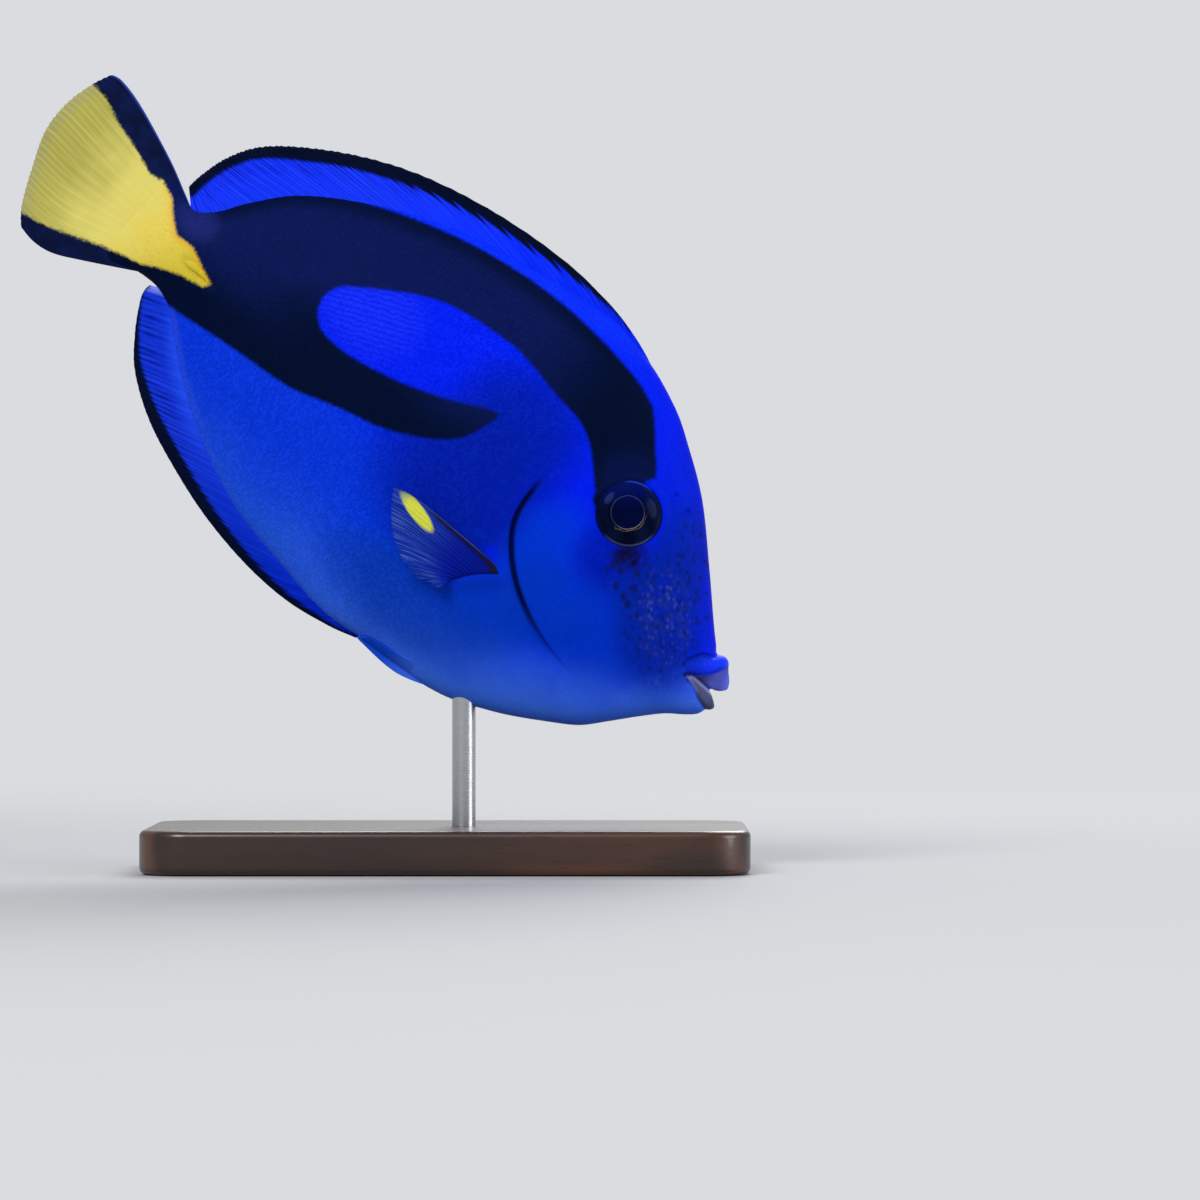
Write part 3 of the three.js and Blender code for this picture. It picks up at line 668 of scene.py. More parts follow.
def markedOut(made):
    # stores where each vertex lies on the fish and how far it is inside each marking
    points = pointsOf(made.data)
    back, up = -points[:, 0], points[:, 2]
    depths = {name + "Depth": depthInside(back, up, outline) for name, outline in outlines.items()}
    gaps = {"bellyGap": up - bottomLine(back), "topGap": topLine(back) - up}
    store(made, fishPlace=points * [-1, 1, 1], **gaps, **depths)


blueFinColours = {
    "dorsalTop": "#0A28F4", "dorsalRoot": "#0629E6", "analTop": "#0224B0", "analRoot": "#0830D4",
    "deep": "#0218B4", "light": "#3055FF", "margin": "#04081E", "line": "#2C60F0", "tip": "#7C8CF4",
}
yellows = {
    "base": "#CFBA46", "pale": "#CFC466", "deep": "#B4921C", "stem": "#B4A61C", "orange": "#D49420",
}


def goldenTone(p, place, back, up, inside):
    # the yellow that runs from the tail stem onto the tail fin, warmer along its front edge
    tone = p.mix(p.rise(back + p.noise(place, 0.16, 2) * 10, 134, 152), yellows["base"], yellows["pale"])
    mottled = p.rise(p.noise(place, 1.8, 4, 0.65), 0.45, 0.8) * p.rise(back, 146, 132)
    tone = p.mix(mottled * 0.5, tone, yellows["deep"])
    tone = p.mix(p.rise(back, 134, 124) * 0.7, tone, yellows["stem"])
    warm = p.rise(inside, 1.5, 0.2) * p.rise(up, -7, -3) * p.rise(back, 141, 135)
    return p.mix(warm * 0.5, tone, yellows["orange"])


skinLook = {
    "gloss": (0.1, 0.25, 1, 1),
    "grain": (1.75, 1.5, 0.8),
    "grainStrength": 0.2,
    "rowStrength": 0.06,
    "crownHighlightStrength": 0.08,
    "relief": 0.00012,
    "fineRelief": 0.00006,

    # soft ovals of colour: name, middle and reach as (back, up), and strength
    "patches": {
        "rear": [("rearFlank", (99, -18), (34, 20), 0.9)],
        # the deep ovals on the flank are partly the blue's own darker tone and partly painted shade
        "flank": [
            ("deep", (61, -4), (24, 19), 0.92),
            ("deep", (60, 12), (17, 14), 0.85),
            ("royal", (48.8, -9.4), (2.4, 1.8), 0.7),
        ],
        "head": [
            ("cheek", (42, -3), (9, 14), 0.8),
            ("deep", (30, 3), (11, 9), 0.8),
            ("cheekLow", (35, -10), (12, 11), 0.8),
        ],
        "under": [
            ("bellyShade", (56, -27), (24, 10), 0.8),
            ("bellyShade", (42, -19), (11, 9), 0.65),
            ("cheekLow", (22, -7), (12, 13), 0.65),
        ],
    },

    # middle and reach of other ovals, as (back, up)
    "ovals": {
        "rows": ((92, 11), (20, 13)),
        "crownHighlights": ((96, 11), (15, 11)),
        "smoothFlank": ((62, 2), (26, 24)),
        "bandFront": ((38, 17), (8, 8)),
        "stemTopSheen": ((131, 2.5), (6, 4.5)),
    },

    # middle and reach of the freckled places, as the fish stands: across from the snout and up from it
    "freckled": {
        "ground": ((-12.5, 12), (11.5, 18.5)),
        "shade": ((-8.2, 24), (6.5, 13)),
        "underEye": ((-18.1, 23.6), (4.4, 3.4)),
        "blotches": ((-18.8, 19), (5.2, 6.4)),
        "dots": ((-6.5, 19.5), (5.5, 14)),
        "spots": ((-11.8, 12.2), (6.8, 11.5)),
    },
    "colours": {
        "royal": "#0119DC", "azure": "#0234D0", "rearFlank": "#0630C8", "belly": "#1E4ECC",
        "chin": "#4478F0", "bellyShade": "#0232A4", "deep": "#01178E", "forehead": "#011BCC",
        "cheek": "#0132C4", "cheekLow": "#0130AC", "sheen": "#0A4CFF", "band": "#030B26",
        "bandSheen": "#091346", "bandSpeck": "#121C70", "stemTopSheen": "#1C2468", "slit": "#030E48",
        "freckle": "#0C0830", "dot": "#0A1448", "freckleGround": "#031E8C", "paleSpot": "#5C64C4",
        "warmSpot": "#64668A", "upperLip": "#1634F2", "lipRimHighlight": "#4A68FF", "innerLip": "#454EA8",
        "innerLipShade": "#2C2650", "innerLipLight": "#5F6AE2", "lowerLip": "#4F567B", "lipEdgeHighlight": "#A0A6F0",
        "finBase": "#3A5CD4", "crownHighlight": "#4C6CFF",
    },
}


def layPatches(p, back, up, group):
    for name, middle, reach, strength in skinLook["patches"][group]:
        p.coat(p.spot(back, up, middle, reach) * strength, name)


def layBlues(p, place, back, up, cloudy):
    # bright above, darker behind the gill cover, where the deeper blue is partly the skin's own tone and
    # partly painted shade, paler and greyer towards the belly and chin
    bellyGap = p.field("bellyGap")
    p.colour = p.mix(p.rise(up, 4, -22), "royal", "azure")
    layPatches(p, back, up, "rear")
    p.coat(p.rise(up + cloudy * 8, -14, -34), "belly")
    layPatches(p, back, up, "flank")
    p.coat(p.rise(p.field("topGap"), 6, 2) * p.rise(back, 44, 60), blueFinColours["dorsalRoot"])
    p.coat(p.rise(back, 40, 30) * p.rise(up, 8, 20), "forehead")
    layPatches(p, back, up, "head")
    p.coat(p.rise(bellyGap + (cloudy - 0.5) * 8, 18, -4) * p.rise(back, 90, 28) * 0.9, "chin")
    layPatches(p, back, up, "under")
    finBase = p.rise(bellyGap, 2.6, 0.2) * p.rise(back, 85, 120) * p.rise(back, 131, 126)
    p.coat(finBase * 0.35, "finBase")
    p.coat(p.rise(p.noise(place, 0.7, 3), 0.5, 0.8) * 0.05, "sheen")


def layFreckles(p, back, up, blotted):
    # freckles of the cheek and snout, drawn out upwards as the fish stands
    turn = math.radians(pose["noseDown"])
    across = up * math.sin(turn) - back * math.cos(turn)
    upright = back * math.sin(turn) + up * math.cos(turn)
    zone = {name: p.spot(across, upright, *oval) for name, oval in skinLook["freckled"].items()}
    stretched = p.joined(across, upright * 0.7)
    size = p.noise(stretched, 0.5, 1)
    p.coat(zone["ground"] * (0.55 + blotted * 0.8), "freckleGround")
    p.coat(zone["shade"] * 0.7, "freckleGround")
    p.coat(zone["underEye"] * p.rise(blotted, 0.25, 0.55), "freckle")
    blotches = p.cells(stretched, 0.45, 0.9)
    p.coat(p.rise(blotches, 0.4, 0.12) * p.rise(zone["blotches"], 0.1, 0.5) * 0.75, "dot")
    dots = p.cells(p.vector("ADD", stretched, (3.7, 5.1, 0)), 0.6)
    dotted = p.rise(p.clip(zone["dots"] + zone["ground"] * 0.5), 0.1, 0.6)
    p.coat(p.rise(dots - size * 0.3, 0.16, -0.04) * dotted * 0.6, "dot")
    spots = p.cells(p.vector("ADD", stretched, (7.3, 2.9, 0)), 0.85)
    spotted = p.rise(zone["spots"], 0, 0.8)
    p.coat(spotted * p.rise(blotted, 0.4, 0.7) * 0.05, "paleSpot")
    faded = p.rise(p.noise(stretched, 0.6, 1), 0.3, 0.7)
    spotColour = p.mix(p.rise(size, 0.42, 0.58), "paleSpot", "warmSpot")
    p.coat(p.rise(spots, 0.42, 0) * spotted * faded * 0.24, spotColour)


def layLips(p, back, up, speckled):
    # a bright blue roll with a painted highlight along its front rim, above a pale flap with painted shade in
    # its corner and a painted highlight along its lower edge, and a grey lower lip with a painted highlight
    # along its upper edge
    frayed = (speckled - 0.5) * 0.4
    flap = p.mix(p.rise(back, 1.6, 4.4), "innerLip", "innerLipShade")
    flap = p.mix(p.rise(back - up * 0.4, 1.4, -0.8), flap, "innerLipLight")
    # painted highlight along the flap's lower edge
    flap = p.mix(p.rise(up + back * 0.3, -2, -3.1) * 0.7, flap, "lipEdgeHighlight")
    roll = p.mix(p.rise(back + (speckled - 0.5) * 6, 3, 7.5) * 0.75, "upperLip", "freckleGround")
    # painted highlight along the roll's front rim
    roll = p.mix(p.rise(back - up * 0.3, 2.2, 1) * 0.5, roll, "lipRimHighlight")
    # painted highlight along the lower lip's upper edge
    edge = p.rise(p.field("lowerLipDepth"), 0.7, 0.05) * p.rise(up + back * 0.3, -4.4, -3.2)
    grey = p.mix(edge * 0.7, "lowerLip", "lipEdgeHighlight")
    for name, tint in (("innerLip", flap), ("upperLip", roll), ("lowerLip", grey)):
        p.coat(p.rise(p.field(name + "Depth") + frayed, -0.3, 0.3), tint)


def layBand(p, place, back, up, cloudy, speckled, oval):
    # the black band has a soft, slightly ragged edge, and the tail's yellow lies over it
    ragged = (speckled - 0.5) * 0.8
    depth, golden = p.field("bandDepth"), p.field("yellowDepth")
    band = p.rise(depth + ragged, -0.8, 0.2)
    sheen = p.rise(up + (cloudy - 0.5) * 8, 0, 12) * p.rise(back, 50, 70)
    sheen = p.clip(sheen + p.rise(back, 100, 120) * p.rise(up, -8, 1) * 0.9)
    sheen = sheen * (1 - p.rise(depth, 4, 0.5) * p.rise(p.field("topGap"), 10, 6) * 0.8)
    black = p.mix(p.clip(sheen + oval["bandFront"] * 0.6), "band", "bandSheen")
    black = p.mix(p.rise(speckled, 0.5, 0.75) * 0.35 * sheen, black, "bandSpeck")
    # painted sheen: a lighter indigo on the top of the tail stem
    black = p.mix(oval["stemTopSheen"] * 0.7, black, "stemTopSheen")
    p.coat(band, black)
    yellow = p.rise(golden + ragged * 1.3, -0.4, 0.4)
    p.coat(yellow, goldenTone(p, place, back, up, golden))
    return band, yellow


def skinPaint():
    s = skinLook
    p = Paint("blueSkin", s["colours"], Roughness=0.45, Specular_IOR_Level=0.05, Specular_Tint=s["gloss"])
    place, back, up = p.onFish()
    cloudy, blotted, speckled = p.noise(place, 0.09, 3), p.noise(place, 0.5, 3), p.noise(place, 1.8, 4, 0.65)
    oval = {name: p.spot(back, up, *reach) for name, reach in s["ovals"].items()}
    layBlues(p, place, back, up, cloudy)
    layFreckles(p, back, up, blotted)
    layLips(p, back, up, speckled)
    band, yellow = layBand(p, place, back, up, cloudy, speckled, oval)

    # leathery wrinkles lie in rows in the blue oval; the colour gets painted highlights on their crowns and
    # painted shade in their hollows
    grain = p.noise(p.vector("MULTIPLY", place, s["grain"]), 1, 1, 0.5)
    creased = p.rise(abs(grain - 0.5), 0, 0.15) - 0.5
    rows = p.maths("SINE", (up * 0.92 + back * 0.4 + (blotted - 0.5) * 1.5) * 6.2)
    leathery = (p.rise(back, 36, 72) * 0.7 + 0.3) * (1 - yellow * p.rise(back, 120, 130))
    wrinkled = creased * (1 - oval["rows"] * 0.6) * s["grainStrength"]
    wrinkled = wrinkled + rows * oval["rows"] * s["rowStrength"]
    crownHighlights = oval["crownHighlights"] * (0.7 + rows * 0.3) + p.rise(creased, -0.3, 0.5) * leathery * 0.25
    # painted highlights on the crowns of the wrinkles and rows
    p.coat(crownHighlights * (1 - band) * s["crownHighlightStrength"], "crownHighlight")
    # painted shade and highlight: the colour is darker in the wrinkles' hollows and lighter on their crowns
    shade = 1 + wrinkled * leathery * (1.1 - oval["smoothFlank"] * 0.7)
    p.colour = p.vector("MULTIPLY", p.colour, shade)
    # painted shade darkens the gill slit and the lip creases
    p.coat(p.clip(p.field("slit") * 1.1 + p.field("crease") * 0.5), "slit")
    relief = p.bump(wrinkled * leathery, s["relief"])
    return p.finished(speckled, p.bump(speckled, s["fineRelief"], 0.6, relief))


skinMaterial = skinPaint()


def buildSkin():
    skin = bodyMesh()
    relax(skin.data, 3)
    backOnFlank(skin.data)
    points = pointsOf(skin.data)
    finerWhere(skin.data, nearFeatures(-points[:, 0], points[:, 2]))
    relax(skin.data, 2)
    backOnFlank(skin.data)
    masks = carve(skin.data)
    relax(skin.data, 1, 0.3)
    store(skin, **masks)
    markedOut(skin)
    onStand(skin)
    return finishPiece(skin, skinMaterial, "skin", "head", "upper_jaw", "lower_jaw", "trunk", "tail_stem")


skin = buildSkin()
print("skin:", len(skin.data.polygons), "faces")


def buildSpine(side, name):
    # a lancet folded forwards into its groove
    share = np.linspace(0, 1, tailSpine["rings"])[:, None]
    turn = np.linspace(0, 2 * math.pi, tailSpine["around"], endpoint=False)[None, :]
    line = blend(np.array(tailSpine["base"]), np.array(tailSpine["tip"]), share)
    back, up = line[:, :1], line[:, 1:] + tailSpine["arch"] * np.sin(math.pi * share)
    fat = np.sin(np.clip(share, 0.02, 1) ** 0.55 * math.pi) ** 0.8 + 0.02
    height = tailSpine["height"] / 2 * fat
    out = flankWidth(back, up) - tailSpine["sink"] + tailSpine["rise"] / 2 * fat * np.cos(turn)
    rings = np.stack(np.broadcast_arrays(-back, side * out, up + height * np.sin(turn)), -1)
    spine = loftObject(name, rings)
    smoothSkin = np.zeros(len(spine.data.vertices))
    store(spine, slit=smoothSkin, crease=smoothSkin)
    markedOut(spine)
    onStand(spine)
    return finishPiece(spine, skinMaterial, "skin")


buildSpine(1, "tailSpineLeft")
buildSpine(-1, "tailSpineRight")


eyeColours = {
    "pupil": "#01062A", "iris": "#01061C", "irisBlue": "#020C58", "irisLight": "#10183C", "pale": "#9A98B4",
    "gold": "#9C8468", "rim": "#040A34", "crescentHighlight": "#4A5684", "blue": "#1C46D8",
}


def eyePaint():
    p = Paint("eye", eyeColours, Roughness=0.16, Specular_IOR_Level=0.06, Specular_Tint=(0.1, 0.22, 1, 1),
              Coat_Weight=0.01)
    place = p.field("eyePlace", "Vector")
    back, up = p.part(place, "X"), p.part(place, "Z")
    centred = p.vector("SUBTRACT", place, (0.32, 0, 0))
    wavy = p.noise(place, 0.9, 3)
    fibres = p.noise(place, 5, 4, 0.7)
    outer = p.length(p.vector("MULTIPLY", place, (1, 0, 1)))
    radius = p.length(p.vector("MULTIPLY", centred, (1, 0, 1))) + (wavy - 0.5) * 0.3

    # the light falls from above, so the top of the iris is blue and its lower front has the bright strands
    above = p.rise(up * 0.766 + back * 0.643, 0.5, 5.5)
    lowerFront = p.rise(up * -0.5 - back * 0.866, 0.6, 3.3)
    p.colour = p.mix(p.rise(radius, 2.9, 3.2), "pupil", "iris")
    p.coat(above * 0.8, "irisBlue")
    rings = p.node("TexWave", {"wave_type": "RINGS", "rings_direction": "SPHERICAL"},
                   {"Vector": centred, "Scale": 0.42, "Distortion": 1.2, "Detail": 2.0})
    p.coat(rings * p.rise(radius, 3.4, 4) * (0.15 + lowerFront * 0.3), "irisLight")
    strand = p.rise(abs(radius - 3.5 + (wavy - 0.5) * 0.8), 0.12, 0.02)
    p.coat(strand * lowerFront * p.rise(fibres, 0.35, 0.6) * 0.6, "gold")
    ring = p.rise(abs(radius - 3.1), 0.13, 0.02) * (0.12 + lowerFront * 0.6) * (0.3 + fibres * 0.9)
    p.coat(ring, p.mix(lowerFront * wavy, "pale", "gold"))
    p.coat(p.rise(outer, 5.2, 6.4) * 0.7, "rim")
    # painted highlights: a pale crescent on the lower rim and a blue arc on the upper back of the rim
    crescentHighlight = p.rise(abs(outer - 5.9), 0.3, 0.05) * p.rise(up * -0.766 - back * 0.643, 3.4, 5.2)
    p.coat(crescentHighlight * 0.7, "crescentHighlight")
    arcHighlight = p.rise(abs(outer - 5.95), 0.25, 0.05) * p.rise(up * 0.9 + back * 0.35, 4.9, 5.8)
    p.coat(arcHighlight * 0.6, "blue")
    p.surface(Base_Color=p.colour, Normal=p.bump(fibres, 0.00003, 0.3))
    return p.material


eyeMaterial = eyePaint()


def buildEye(side, name, node):
    tilt = np.linspace(-math.pi / 2, math.pi / 2, eye["rings"] + 2)[1:-1, None]
    turn = np.linspace(0, 2 * math.pi, eye["around"], endpoint=False)[None, :]
    x, y, z = np.cos(tilt) * np.cos(turn), np.sin(tilt), np.cos(tilt) * np.sin(turn)
    ball = np.stack(np.broadcast_arrays(x, y, z), -1) * np.array(eye["radii"])
    middle, turned = onFlank(eye["place"], -eye["sink"])
    rings = ball @ turned.T + middle
    rings[..., 1] *= side
    made = loftObject(name, rings)
    points = pointsOf(made.data)
    flat = np.column_stack([-points[:, 0] - eye["place"][0], points[:, 1], points[:, 2] - eye["place"][1]])
    store(made, eyePlace=flat)
    onStand(made)
    return finishPiece(made, eyeMaterial, "eye", node)


buildEye(1, "eyeLeft", "eye_left")
buildEye(-1, "eyeRight", "eye_right")
print("eyes done")


finMake = {
    "perRay": 10,
    "membraneAtRoot": 0.36,
    "membraneAtEdge": 0.2,
    "rayWidth": 0.22,
    "rayNarrows": 0.6,
    "forkFrom": 0.4,
    "scallopFrom": 0.6,
    "edgeFrom": 0.94,
    "edgeRound": 0.065,
    "edgeThinnest": 0.06,
    "pinched": (0.65, 0.2),
}
blueGloss = (0.12, 0.28, 1, 1)
paleGloss = (0.25, 0.4, 1, 1)

dorsal = {
    "root": [
        (46, 33.2), (52, 35.4), (60, 36.6), (70, 36), (80, 34.3), (90, 32), (100, 28.5), (110, 23.5),
        (120, 16.4), (132.4, 2.6),
    ],
    "edge": [
        (46.3, 35.2), (50, 36.9), (53.4, 38.2), (57, 39.2), (62, 40.2), (72, 41), (84, 40.3), (96, 38.3),
        (107, 35.2), (117, 30.7), (126, 25), (131.5, 20.2), (134.6, 14.8), (136, 10), (136.4, 6.5),
    ],
    "rays": 29,
    "spacing": [(0, 0), (0.3, 0.5), (1, 1)],
    "lean": 0.08,
    "sweep": 1.35,
    "rows": 48,
    "margin": [
        (51, -0.4), (56, 0.1), (62, 0.6), (70, 1.4), (80, 2.1), (92, 2.5), (110, 2.8), (122, 2.7),
        (136, 1.9),
    ],
    "fork": 0.2,
    "scallop": 0.014,
    "rayRise": (0.1, 0.06),
    "wave": 0.25,
    "waves": 4,
    "rootLine": 0,
    "ragged": 1.1,
}
anal = {
    "root": [
        (57.5, -35.4), (68, -36.2), (80, -34.6), (90, -32.6), (99, -29.2), (107, -24.8), (115, -19.4),
        (126.6, -10.6),
    ],
    "edge": [
        (58.4, -38), (64, -39.6), (73, -41), (83, -40.7), (94, -38.8), (104, -35.8), (114, -31.7),
        (122, -26.4), (126.5, -21), (129.5, -16), (130.3, -13.8), (130.2, -12.3),
    ],
    "rays": 22,
    "lean": 0.15,
    "sweep": 1,
    "rows": 48,
    "margin": [
        (57, 0.2), (64, 0.7), (72, 1.2), (80, 1.6), (95, 2.2), (108, 2.4), (118, 1.9), (125, 1), (130, 0.3),
    ],
    "fork": 0.2,
    "scallop": 0.005,
    "rayRise": (0.12, 0.06),
    "wave": 0.25,
    "waves": 3,
    "rootLine": 0.45,
    "ragged": 0.5,
}
caudal = {
    "root": [(131.4, 2.6), (131.8, -3.9), (131.4, -10.6)],
    "upper": [(131.4, 2.6), (136.8, 5.4), (142.5, 8.2), (152.7, 12.2), (158.5, 13.6), (160.9, 13.2)],
    "edge": [
        (160.9, 13.2), (162.6, 9.4), (163.9, 3.6), (163.6, -3), (161, -10), (158, -16.3), (155.6, -19.4),
    ],
    "lower": [(131.4, -10.6), (142.7, -16.8), (148, -19.4), (152, -20), (155.6, -19.4)],
    "rays": 17,
    "rows": 90,
    "fork": 0.27,
    "scallop": 0.005,
    "rayRise": (0, 0.05),
    "wave": 0.35,
    "waves": 2,
}
pectoral = {
    "root": [(44.4, -12.4), (48.2, -15.1), (51.6, -18.2)],
    "upper": [(44.4, -12.4), (46.4, -11.2), (48.6, -10.7), (57, -10.6), (66, -10.7), (70.7, -11.8)],
    "edge": [(70.7, -11.8), (69.2, -14.2), (66, -17.9), (61, -21), (56.5, -22), (52.9, -21.6)],
    "lower": [(51.6, -18.2), (52.1, -20), (52.9, -21.6)],
    "rays": 15,
    "crowd": 2.3,
    "rows": 60,
    "fork": 0.22,
    "scallop": 0.01,
    "rayRise": (0.1, 0.05),
    "wave": 0.15,
    "waves": 2,
    "off": [(0, -1), (0.07, 0.7), (1, 4.5)],
    "leastOut": 0,
}
pelvic = {
    "root": [(41.6, -32.8), (41.8, -36)],
    "upper": [(41.6, -32.8), (48, -34.5), (57.2, -36.4)],
    "edge": [(57.2, -36.4), (58.4, -37.7)],
    "lower": [(41.8, -36), (48.5, -38), (58.4, -37.7)],
    "rays": 6,
    "rows": 40,
    "fork": 0.1,
    "scallop": 0.01,
    "rayRise": (0.02, 0.05),
    "pinch": 0.85,
    "wave": 0,
    "waves": 1,
    "off": [(0, -0.4), (0.45, 0), (0.65, 0.25), (1, 0.6)],
    "leastOut": 0.9,
    "slant": 50,
}


def leaning(fin):
    root, edge = smoothPath(fin["root"], 300), smoothPath(fin["edge"], 300)

    def place(share, row):
        onEdge = 1 - (1 - share) ** fin["sweep"] + fin["lean"] * np.sin(math.pi * np.sqrt(share))
        return blend(along(root, share), along(edge, onEdge), row[..., None])

    return place


def fanned(fin):
    root, edge, upper, lower = [smoothPath(fin[name], 300) for name in ("root", "edge", "upper", "lower")]

    def place(share, row):
        s, r = share[..., None], row[..., None]
        across = blend(along(upper, row), along(lower, row), s)
        outwards = blend(along(root, share), along(edge, share ** fin.get("crowd", 1)), r)
        corners = blend(blend(root[0], root[-1], s), blend(edge[0], edge[-1], s), r)
        return across + outwards - corners

    return place


def buildFin(name, fin, place, sideOf=None, across=(0, 1, 0)):
    # a membrane with rounded rays that part in two towards the edge, the same on both faces
    f = finMake
    columns = (fin["rays"] - 1) * f["perRay"] + 1
    share, row = np.meshgrid(np.linspace(0, 1, columns), np.linspace(0, 1, fin["rows"]), indexing="ij")
    offset = share * (fin["rays"] - 1)
    offset = offset - np.round(offset)
    outwards = smooth(f["forkFrom"], 1, row)
    fork = fin["fork"] * outwards
    width = blend(f["rayWidth"], f["rayWidth"] * f["rayNarrows"], outwards)
    ray = np.maximum(hump(offset - fork, width), hump(offset + fork, width))
    reach = row * (1 - fin["scallop"] * (1 - ray) * smooth(f["scallopFrom"], 1, row))
    thin = np.sqrt(np.clip(1 - ((row - f["edgeFrom"]) / f["edgeRound"]) ** 2, f["edgeThinnest"], 1))
    thin = np.where(row > f["edgeFrom"], thin, 1) * (1 - fin.get("pinch", 0) * smooth(*f["pinched"], row))
    half = (blend(f["membraneAtRoot"], f["membraneAtEdge"], row) + blend(*fin["rayRise"], row) * ray) * thin
    placed = smoothThrough(fin["spacing"])(share) if "spacing" in fin else share
    flat = place(placed, reach)
    back, up = flat[..., 0], flat[..., 1]
    side = fin["wave"] * row**2 * np.sin(2 * math.pi * fin["waves"] * share)
    if sideOf:
        side = side + sideOf(back, up, reach)
    middle, thickness = np.stack([-back, side, up], -1), np.array(across) * half[..., None]
    points = np.stack([middle + thickness, middle - thickness])
    index = np.arange(points[..., 0].size).reshape(points.shape[:3])
    faces = quads(index[0]) + quads(index[1])
    for edge in (index[:, :, 0], index[:, :, -1], index[:, 0, :], index[:, -1, :]):
        faces += quads(edge)
    made = outward(meshObject(name, points.reshape(-1, 3), faces))
    gap = nearest(back.ravel(), up.ravel(), smoothPath(fin["edge"], 120))[0]
    fields = {"ray": ray.ravel(), "row": row.ravel(), "share": share.ravel(), "edgeGap": gap}
    if "margin" in fin:
        fields["margin"] = smoothThrough(fin["margin"])(back.ravel()) - gap
    store(made, **{key: np.tile(values, 2) for key, values in fields.items()})
    store(made, fishPlace=pointsOf(made.data) * [-1, 1, 1])
    return made


def fibresOf(p, across, lengthwise):
    # fine threads that follow the rays
    return p.noise(p.joined(p.field("share") * across, p.field("row") * lengthwise), 1, 3, 0.6)


def blueFinPaint(name, fin):
    rays, rootLine, ragged = fin["rays"], fin["rootLine"], fin["ragged"]
    p = Paint(name + "Fin", blueFinColours, Roughness=0.45, Specular_IOR_Level=0.08, Specular_Tint=blueGloss)
    place = p.field("fishPlace", "Vector")
    back = p.part(place, "X")
    ray, row, share, margin = p.field("ray"), p.field("row"), p.field("share"), p.field("margin")
    speckled = p.noise(place, 1.8, 3, 0.6)
    stripes = p.maths("SINE", share * (6 * math.pi * (rays - 1)))
    fibres = fibresOf(p, 4 * rays, 1.2) + stripes * 0.09
    p.colour = p.mix(p.rise(row, 0.05, 0.5), name + "Root", name + "Top")
    p.coat(p.rise(back, 88, 55) * 0.5, "deep")
    p.coat(p.rise(back, 74, 112) * 0.2, "light")
    p.coat(p.rise(ray, 0.2, 0.9) * p.rise(row, 0.3, 0.9) * 0.3, "deep")
    between = p.rise(p.maths("COSINE", share * (4 * math.pi * (rays - 1))), -0.2, 0.9) * p.rise(back, 92, 108)
    p.coat(between * p.rise(row, -0.1, 0.3) * 0.4, "deep")
    p.coat(p.rise(fibres, 0.45, 0.75) * (0.4 + p.rise(back, 100, 125) * 0.2), "deep")
    p.coat(p.rise(fibres, 0.5, 0.25) * 0.15, "light")
    if rootLine:
        line = p.rise(row, rootLine + 0.05, rootLine - 0.35) * p.rise(back, 98, 112) * p.rise(back, 127, 119)
        p.coat(line * 0.4, "line")
        p.coat(p.rise(share, 0.972, 0.99) * 0.9, "tip")

    # the black margin's inner edge has teeth where rays reach into it
    steps = 0.5 - p.maths("FRACT", share * (rays - 1) * 1.4)
    serrated = p.rise(abs(back - 86), 26, 14)
    teeth = (fibres - 0.5) * ragged * (1.2 - serrated) + steps * serrated * ragged + (speckled - 0.5) * 0.3
    p.coat(p.rise(margin + teeth, -0.4, 0.4), "margin")
    reaching = p.rise(margin + p.rise(back, 96, 112) * 2.2, -1.2, 0.6)
    p.coat(reaching * p.rise(fibres, 0.52, 0.68) * 0.55, "margin")
    return p.finished(speckled, p.bump(speckled, 0.00005, 0.5))


tailColours = {
    "olive": "#9E9848", "edge": "#928E60", "light": "#DCD36E", "thread": "#8E7C22", "black": "#060E2C",
    "blackSheen": "#0A1440", "blackEdge": "#3448A8",
}


def tailPaint():
    p = Paint("tailFin", tailColours, Roughness=0.45, Specular_IOR_Level=0.08, Specular_Tint=paleGloss)
    place, back, up = p.onFish()
    golden, share = p.field("yellowDepth"), p.field("share")
    speckled = p.noise(place, 1.5, 4, 0.65)
    fibres = fibresOf(p, 60, 1.1)
    p.colour = goldenTone(p, place, back, up, golden)
    p.coat(p.rise(back + (p.noise(place, 0.16, 2) - 0.5) * 9, 142, 158), "olive")
    p.coat(p.rise(p.field("edgeGap"), 3, 0.5) * 0.8, "edge")
    outwards = p.rise(back, 139, 156)
    p.coat(p.rise(p.field("ray"), 0.3, 1) * outwards * 0.14, "light")
    p.coat(p.rise(fibres, 0.5, 0.25) * outwards * 0.3, "light")
    p.coat(p.rise(fibres, 0.52, 0.76) * outwards * 0.24, "thread")
    black = p.mix(p.rise(p.noise(place, 0.3, 2), 0.4, 0.7), "black", "blackSheen")
    black = p.mix(p.rise(share, 0.016, 0.002) * 0.8, black, "blackEdge")
    inside = golden + (speckled - 0.5) * 1.1 + (fibres - 0.5) * 1.2
    p.coat(p.rise(inside, 0.4, -0.4), black)
    return p.finished(speckled, p.bump(fibres * outwards, 0.00005, 0.5))


paleColours = {
    "blue": "#05148A", "violet": "#14309E", "ray": "#5A78B4", "top": "#5E5E78", "brown": "#100E18",
    "rust": "#221A22", "yellow": "#C6CA44", "tip": "#86946E", "bellyRoot": "#3260DA", "bellyTip": "#0A40C0",
    "bellyRay": "#2A5AD8", "bellyFoldShade": "#0A2C9C",
}


